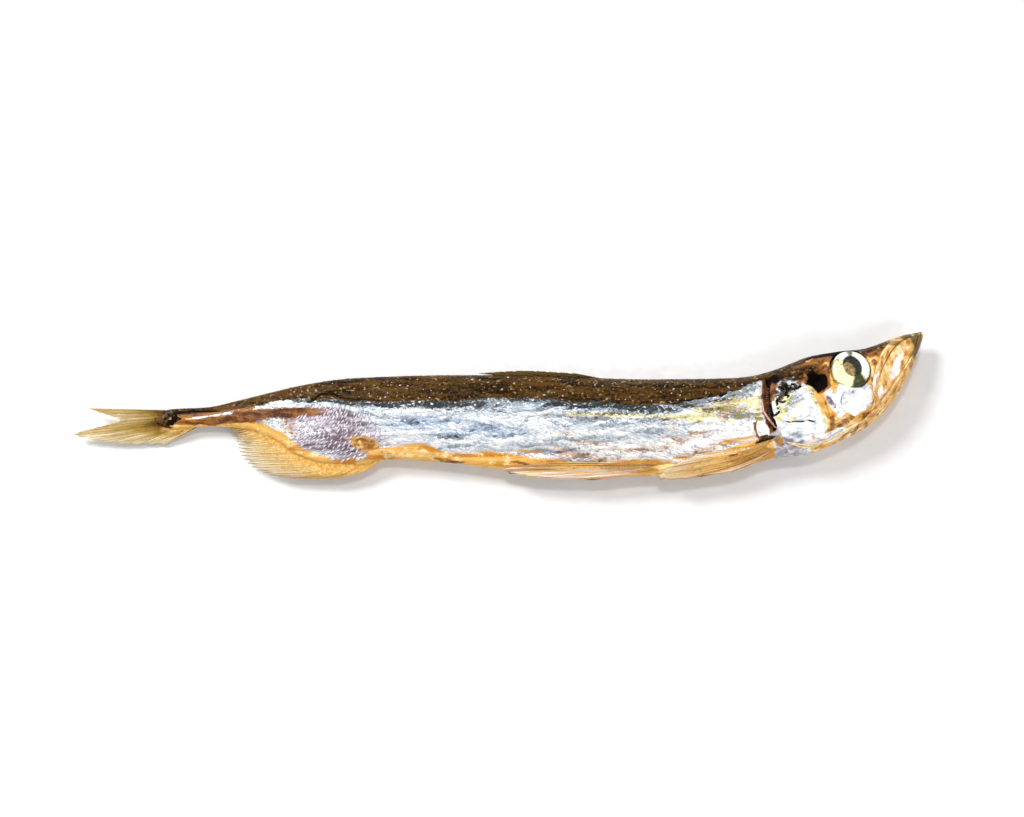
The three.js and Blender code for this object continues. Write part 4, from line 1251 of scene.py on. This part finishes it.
# ---------------- fins
def ray_tree():
    """Round rays drawn along guide lines, thinner towards their tips, with a knuckle at each joint."""
    tree = Tree("fin_rays", Thickness=0.4, Joint_Length=0.8, Joint_Swelling=0.15)
    given = tree.given
    line = tree.add("GeometryNodeMeshToCurve", Mesh=given["Geometry"]).outputs[0]
    along = tree.add("GeometryNodeSplineParameter").outputs["Length"]
    joints = tree.maths("DIVIDE", along, tree.times(given["Joint Length"], MM))
    wave = tree.maths("SINE", tree.times(joints, 2 * math.pi))
    swell = tree.plus(tree.times(wave, given["Joint Swelling"]), 1.0)
    radius = tree.times(tree.times(tree.times(tree.named("taper"), swell), given["Thickness"]), 0.5 * MM)
    section = tree.add("GeometryNodeCurvePrimitiveCircle", {"mode": "RADIUS"}, Resolution=6, Radius=1.0)
    tube = tree.add(
        "GeometryNodeCurveToMesh", Curve=line, Profile_Curve=section.outputs[0], Scale=radius, Fill_Caps=True)
    tree.close(tube.outputs[0])
    return tree


RAY_TREE = ray_tree()
RAY_POINTS = 40
WEB_FLOOR, TUBE_FLOOR = 0.05, 0.26


def draw_tubes(name, lines, tapers, thickness, material, **marks):
    """Tubes of one finish along lines of the part's frame, each with the same number of points."""
    points = on_board(np.stack(lines), TUBE_FLOOR)
    count, steps = points.shape[:2]
    index = np.arange(count * steps).reshape(count, steps)
    edges = np.stack([index[:, :-1], index[:, 1:]], -1).reshape(-1, 2).tolist()
    fields = {"taper": tapers, **marks}
    fields = {mark: np.broadcast_to(values, (count, steps)) for mark, values in fields.items()}
    mesh = new_mesh(name + "_lines", points.reshape(-1, 3), edges, [], fields)
    return RAY_TREE.grow(
        mesh, name, Thickness=thickness, Joint_Length=0.75, Joint_Swelling=0.16, Seed=1, Material=material)


def strands(name, paths, side, raised, thickness, material, thin_end=0.5):
    """Loose strands laid along paths of the side view, thinner at both ends."""
    share = np.linspace(0, 1, 20)
    along = [run(path)(share) for path in paths]
    lines = [on_flank(p[:, 0], p[:, 1], side, raised) for p in along]
    taper = lerp(thin_end, 1.0, np.sin(math.pi * share) ** 0.6)
    return draw_tubes(name, lines, taper, thickness, material)


BRANCH_SPREAD = 0.26  # how far each half of a forked ray leans off, as a share of the step between rays
FREE_LIFT, FLANK_LIFT = 0.05, 0.12  # rays over the membrane of a free fin and of one laid on a flank, in mm


def fin(name, root, tip, rays, fringe=0.6, seat=None, thick=0.3, ray_size=0.22, side=0, fork=0.45,
        fade=0.0, swept=None, tip_size=0.22, smooth_root=0.0, pale=1.0, **marks):
    """A fin: its membrane, a little slack between the rays, and its forked rays, swept over a knee.

    A fin with a side is laid on that flank, and the rays of a fin with an olive mark are olive too.
    """
    seat = seat or flank_seat(side)
    start, end = run(root), run(tip)
    knee = run(swept) if swept else lambda share: (start(share) + end(share)) / 2

    def at(u, v):
        v = np.asarray(v)[..., None]
        s, n = np.moveaxis(lerp(lerp(start(u), knee(u), v), lerp(knee(u), end(u), v), v), -1, 0)
        return s, n, seat(s, n, u, v[..., 0])

    u = np.linspace(0, 1, rays * 8 + 1)[None, :]
    v = np.linspace(0, 1, 36)[:, None]
    a, b = start(u), end(u)
    length = np.hypot(b[..., 0] - a[..., 0], b[..., 1] - a[..., 1])
    off_ray = 0.5 - 0.5 * np.cos(2 * math.pi * u * rays)
    tear = 0.6 + 0.4 * rumple(u * rays * 1.3, 0 * u, 71)
    reach = v * (1 - np.minimum(fringe * off_ray * tear / length, 0.5))
    s, n, z = at(u, reach)
    ribs = ease(v, smooth_root, smooth_root + 0.25)
    slack = 0.09 * off_ray * np.sin(math.pi * v) * (1 - 2 * (np.floor(u * rays) % 2)) * ribs
    z = z + slack + 0.05 * rumple(s / 1.5, n / 1.0, 72)
    half = lerp(thick, 0.09, ease(v, 0, 0.7)) / 2

    def pair(top, under=None):
        """Values over the upper face of the membrane and then, turned back, over its lower face."""
        top = np.broadcast_to(top, z.shape)
        under = top if under is None else under
        return np.concatenate([top, under[:, ::-1]], 1)

    fields = {
        "reach": pair(reach), "clear": pair(reach * fade * off_ray), "olive": pair(0),
        "ribbing": pair((0.5 + 0.5 * np.cos(2 * math.pi * u * rays * 2)) * ribs),
        "rust": pair(0), "pearl": pair(0), "umber_wash": pair(0),
        "char": paint(pair(s), pair(n))["char"] * (name == "tail_fin"),
    }
    fields.update({key: pair(values(u, v)) for key, values in marks.items()})
    web_z = pair(z + half, z - half)
    web = lofted(name + "_web", pair(s), pair(n), web_z, WEB, fields, floor=WEB_FLOOR, zipped=True)

    lines, tapers = [], []
    t = np.linspace(0, 1.0, RAY_POINTS)
    split = np.clip((t - fork) / (1 - fork), 0, 1) if fork < 1 else 0 * t
    for centre in np.arange(rays + 1) / rays:
        for branch in (-1, 1) if fork < 1 else (0,):
            ray_u = np.clip(centre + branch * BRANCH_SPREAD / rays * split, 0, 1)
            ray_s, ray_n, ray_z = at(ray_u, t)
            lines.append(place(ray_s, ray_n, ray_z + (side * FLANK_LIFT if side else FREE_LIFT)))
            tapers.append(lerp(1.0, tip_size, t) * lerp(1.0, 0.85, split))
    tapers = np.stack(tapers)
    olive = 1.0 * ("olive" in marks)
    tubes = draw_tubes(name + "_rays", lines, tapers, ray_size, RAY, reach=pale * t, olive=olive)
    return [web, tubes]


def tail_seat(s, n, u, v):
    """How high a fin lies: u is the share from its first ray to its last, and v from flesh to tip."""
    return lie(0) + lerp(0, 0.8 - 2.0 * u, v) + 0.25 * np.sin(u * 11) * v


def anal_seat(s, n, u, v):
    return lie(s) + (0.4 * np.sin(u * 7 + 1) - 0.5) * v


def back_fin_seat(s, n, u, v):
    return lie(s) + 0.9 * v


def flank_seat(side):
    """Laid on the flank, rising out of the skin over the first part of its length."""
    def seat(s, n, u, v):
        return lie(s) + side * (np.maximum(half_thickness(s, n), 0.9) + lerp(-0.7, 0.14, ease(v, 0, 0.22)))

    return seat


def root_shade(u, v):
    return 0.85 * fall(v + 0.03 * rumple(u * 9, 0 * v, 83), 0.04, 0.1) * fall(u, 0.4, 0.9)


def breast_pearl(u, v):
    return 0.9 * bump(u, 0.93, 0.05) * ease(v, 0.05, 0.3) + 0.5 * bump(u, 0.08, 0.05)


def breast_rust(u, v):
    return 0.8 * bump(u, 0.82, 0.05) + 0.6 * bump(u, 0.2, 0.05) * ease(v, 0.2, 0.6)


def belly_pearl(u, v):
    return ease(rumple(u * 7.0, v * 3.0, 81), -0.1, 0.4) * ease(v, 0.0, 0.2)


def belly_rust(u, v):
    return 0.9 * bump(u, 0.2, 0.07) + 0.9 * ease(rumple(u * 7.0, v * 3.0, 82), 0.2, 0.5)


pieces += fin(
    "tail_fin", [(2.6, 1.5), (1.4, 0.9), (0.9, 0), (1.6, -0.9), (4.6, -1.1)],
    [(-14.6, 1.9), (-12.6, 1.1), (-9.2, -0.1), (-13.6, -1.4), (-17.1, -2.7), (-10, -4.0), (-1.5, -4.2)],
    rays=20, fringe=1.0, seat=tail_seat, thick=0.5, ray_size=0.24, fork=0.35, fade=0.7, tip_size=0.4,
    olive=lambda u, v: 1 - 0.9 * ease(u + 0.1 * np.sin(v * 9), 0.78, 0.95))
pieces += fin(
    "anal_fin", [(38, -6.2), (32, -7.2), (27, -6.8), (23.4, -5.6), (18.6, -2.9), (14.5, -1.4), (12, -0.8)],
    [(28, -10.6), (19.5, -10.2), (14.8, -8.7), (12.3, -6.2), (11.6, -3.9), (11.0, -2.4), (10.4, -1.5)],
    rays=22, fringe=2.2, seat=anal_seat, thick=1.0, ray_size=0.26, fork=1.0, fade=1.0, tip_size=0.5,
    smooth_root=0.35, umber_wash=lambda u, v: 0.16,
    swept=[
        (34.6, -10.2), (29.0, -11.0), (26.4, -9.6), (22.6, -7.2), (17.2, -4.4), (13.6, -2.4), (11.6, -1.2),
    ])
pieces += fin(
    "back_fin", [(79, 6.2), (72, 6.5), (65, 6.8)], [(71, 7.8), (62, 8.3), (54, 7.9)], rays=9, fringe=0.5,
    seat=back_fin_seat, ray_size=0.4, pale=0.25, olive=lambda u, v: 1.0, umber_wash=lambda u, v: 0.9)
for side, label in HANDS:
    pieces += fin(
        "breast_fin_" + label, [(105.2, -5.7), (105.4, -6.4), (105.2, -7.1)],
        [(92.0, -6.9), (85.6, -10.2), (88.4, -10.9), (97.6, -9.7)], rays=8, side=side,
        pale=0.2, pearl=breast_pearl, rust=breast_rust, umber_wash=root_shade)
    pieces += fin(
        "belly_fin_" + label, [(87.0, -8.5), (87.2, -8.9), (87.0, -9.3)],
        [(66, -8.2), (58.8, -9.1), (63, -10.4), (74, -10.9)], rays=6, side=side, pale=0.2,
        pearl=belly_pearl, rust=belly_rust)

# ---------------- gill slit, shoulder, throat and back
SHOULDER_RIM = (
    [(103.9, 4.4), (102.6, 1.9), (101.9, -0.6), (101.8, -2.4)],
    [(104.6, 4.0), (103.7, 1.8), (103.1, -0.6), (103.2, -2.6)],
)
GILL_LOBE = [
    (101.8, -2.5), (102.5, -2.3), (103.4, -2.9), (103.8, -4.1), (103.5, -5.0), (102.6, -5.3), (101.8, -4.6),
]
GILL_EDGE = [[(103.9, 1.2), (103.6, -0.6), (103.9, -1.9), (104.4, -3.1), (105.0, -4.4), (105.3, -5.6)]]
GILL_COMB = [
    [(GILL_LINE(n) + 0.1 + 0.15 * np.sin(n * 9), n + 0.1 * np.sin(n * 23)), (GILL_LINE(n) + 0.6, n - 0.2),
     (GILL_LINE(n) + 1.0, n - 0.6 + 0.15 * np.sin(n * 31))]
    for n in np.arange(3.0, -3.8, -0.33)
]
THROAT_RAYS = [
    [(118.4 - 1.3 * k, -8.95 - 0.05 * k), (113.4 - 1.2 * k, -9.35 + 0.10 * k),
     (108.6 - 0.7 * k, -8.7 + 0.45 * k)]
    for k in range(5)
]
ADIPOSE = (
    [(33.4, 6.3), (30.5, 6.2), (27.0, 5.75), (23.4, 4.9)],
    [(32.6, 5.3), (29.4, 4.6), (25.4, 4.1), (22.2, 4.3)],
)


def lobe_marks():
    return only(
        pearl=lambda s, n: 0 * s + 1.0, slate=lambda s, n: 0.5 * spot(s, n, (102.0, -3.9), (0.9, 0.12), -60),
        umber=lambda s, n: ease(-n, 4.6, 5.0))


def rim_marks():
    def lower(s, n):
        return ease(s - GILL_LINE(n) + 0.25 * rumple(s / 0.7, n / 0.9, 90), -1.3, -0.6)

    return only(
        rust=lambda s, n: 0.95 * lower(s, n), straw=lambda s, n: 0.75 * (1 - lower(s, n)),
        pearl=lambda s, n: 0.75 * patchy(s, n, 0.7, 1.2, 91, 0.0, 0.5) * (1 - lower(s, n)),
        slate=lambda s, n: 0.7 * ease(n + 0.8 * rumple(s / 0.8, n / 0.7, 92), 2.2, 3.4))


def rim_relief(s, n, u, v):
    return 0.08 * rumple(s / 0.8, n / 1.1, 92)


def flap_relief(s, n, u, v):
    return 0.08 * rumple(s / 1.0, n / 0.5, 93) + 0.05 * np.sin(v * 5.0)


for side, label in HANDS:
    pieces += [
        between("shoulder_rim_" + label, *SHOULDER_RIM, side, 0.16, rim_relief, SKIN, rim_marks()),
        plate("gill_lobe_" + label, GILL_LOBE, side, 0.28, cheek_relief, PLATE, lobe_marks(), 14, 60),
        strands("gill_edge_" + label, GILL_EDGE, side, 0.05, 0.42, GILL_EDGE_FINISH),
        strands("gill_comb_" + label, GILL_COMB, side, -0.95, 0.3, GILL, thin_end=0.8),
        strands("throat_rays_" + label, THROAT_RAYS, side, 0.0, 0.5, THROAT_RAY, thin_end=0.3),
    ]
pieces.append(between("adipose_fin", *ADIPOSE, 1, 0.25, flap_relief, SKIN, along=60, across=16))

# Pale flecks where the last scales of the back still hold, spread by two steps that never line up.
FLECK_COUNT = 260
STEP_ALONG, STEP_UP = 0.618034, 0.754878
FLECK_FLOOR = 0.2
for side, label in FLANKS:
    k = np.arange(FLECK_COUNT)
    s = 20 + 82 * ((k * STEP_ALONG + 0.1 * side) % 1)
    n = lerp(back_line(s) + 0.5, back(s) - 0.5, (k * STEP_UP) % 1)
    cluster = over(bump(s, 86, 4) * bump(n, 5.4, 0.8), 0.45 * (rumple(s / 3.0, n / 0.8, 95) > 0.1))
    keep = (rumple(s / 0.37, n / 0.29, 94) + 1) / 2 < cluster
    s, n = s[keep], n[keep]
    size = 0.7 + 0.5 * rumple(s / 0.7, n / 0.7, 96)
    strew("back_flecks_" + label, s, n, side, size, {}, FLECK, FLECK_FLOOR, Length=0.5, Breadth=0.3,
          Dome=0.08, Crown=0.6, Lift=2.0, Unevenness=20.0, Seed=27 + side)

# ---------------- hand over, board, light and camera
for piece in pieces:
    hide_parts(NODE)
    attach(piece, BODY)

HALF_BOARD = 1200.0
BOARD_TOP = -0.02
CORNERS = ((-1, -1), (1, -1), (1, 1), (-1, 1))
board_points = np.array([(HALF_BOARD * x, HALF_BOARD * y, BOARD_TOP) for x, y in CORNERS])
board = put_in_scene("board", new_mesh("board", board_points, [], [(0, 1, 2, 3)], {}))
board_finish = simple_finish("white_board", (0.86, 0.86, 0.86), (0.9, 0.9, 0.9), 4.0, depth=0.01)
board.data.materials.append(board_finish)
def aim(thing, where, target):
    thing.location = where
    thing.rotation_euler = (Vector(target) - thing.location).to_track_quat("-Z", "Y").to_euler()


def soft_light(name, where, size, power, colour):
    data = bpy.data.lights.new(name, "AREA")
    data.shape = "DISK"
    data.size = size
    data.energy = power
    data.color = colour
    aim(put_in_scene(name, data), where, FISH_MIDDLE)


FISH_MIDDLE = (0.0022, -0.0006, 0.004)
soft_light("window", (-0.34, 0.30, 0.42), size=0.22, power=3.5, colour=(1.0, 0.99, 0.97))
soft_light("fill", (0.36, -0.36, 0.40), size=0.30, power=1.5, colour=(0.97, 0.98, 1.0))
soft_light("strip", (0.02, 0.14, 0.50), size=0.07, power=0.5, colour=(1.0, 1.0, 1.0))


def studio_sky(horizon, zenith):
    """An even pale surround, whose strength runs from the horizon's to the zenith's."""
    world = bpy.data.worlds.new("studio")
    world.use_nodes = True
    nodes, links = world.node_tree.nodes, world.node_tree.links
    direction = nodes.new("ShaderNodeTexCoord").outputs["Generated"]
    split = nodes.new("ShaderNodeSeparateXYZ")
    spread = nodes.new("ShaderNodeMapRange")
    spread.inputs["To Min"].default_value = horizon
    spread.inputs["To Max"].default_value = zenith
    links.new(direction, split.inputs[0])
    links.new(split.outputs["Z"], spread.inputs["Value"])
    links.new(spread.outputs["Result"], nodes["Background"].inputs["Strength"])
    nodes["Background"].inputs["Color"].default_value = (1, 1, 1, 1)
    bpy.context.scene.world = world


studio_sky(horizon=0.5, zenith=0.3)

VIEW_HEIGHT = math.radians(80)
VIEW_WIDTH = 0.180
LENS_LENGTH = 85.0
SENSOR = 36.0
DISTANCE = VIEW_WIDTH * LENS_LENGTH / SENSOR
camera_data = bpy.data.cameras.new("camera")
camera_data.lens = LENS_LENGTH
camera_data.sensor_width = SENSOR
camera_data.clip_start = 0.01
camera = put_in_scene("camera", camera_data)
x, y, z = FISH_MIDDLE
aim(camera, (x, y - DISTANCE * math.cos(VIEW_HEIGHT), z + DISTANCE * math.sin(VIEW_HEIGHT)), FISH_MIDDLE)
bpy.context.scene.camera = camera
bpy.context.scene.view_settings.view_transform = "Standard"
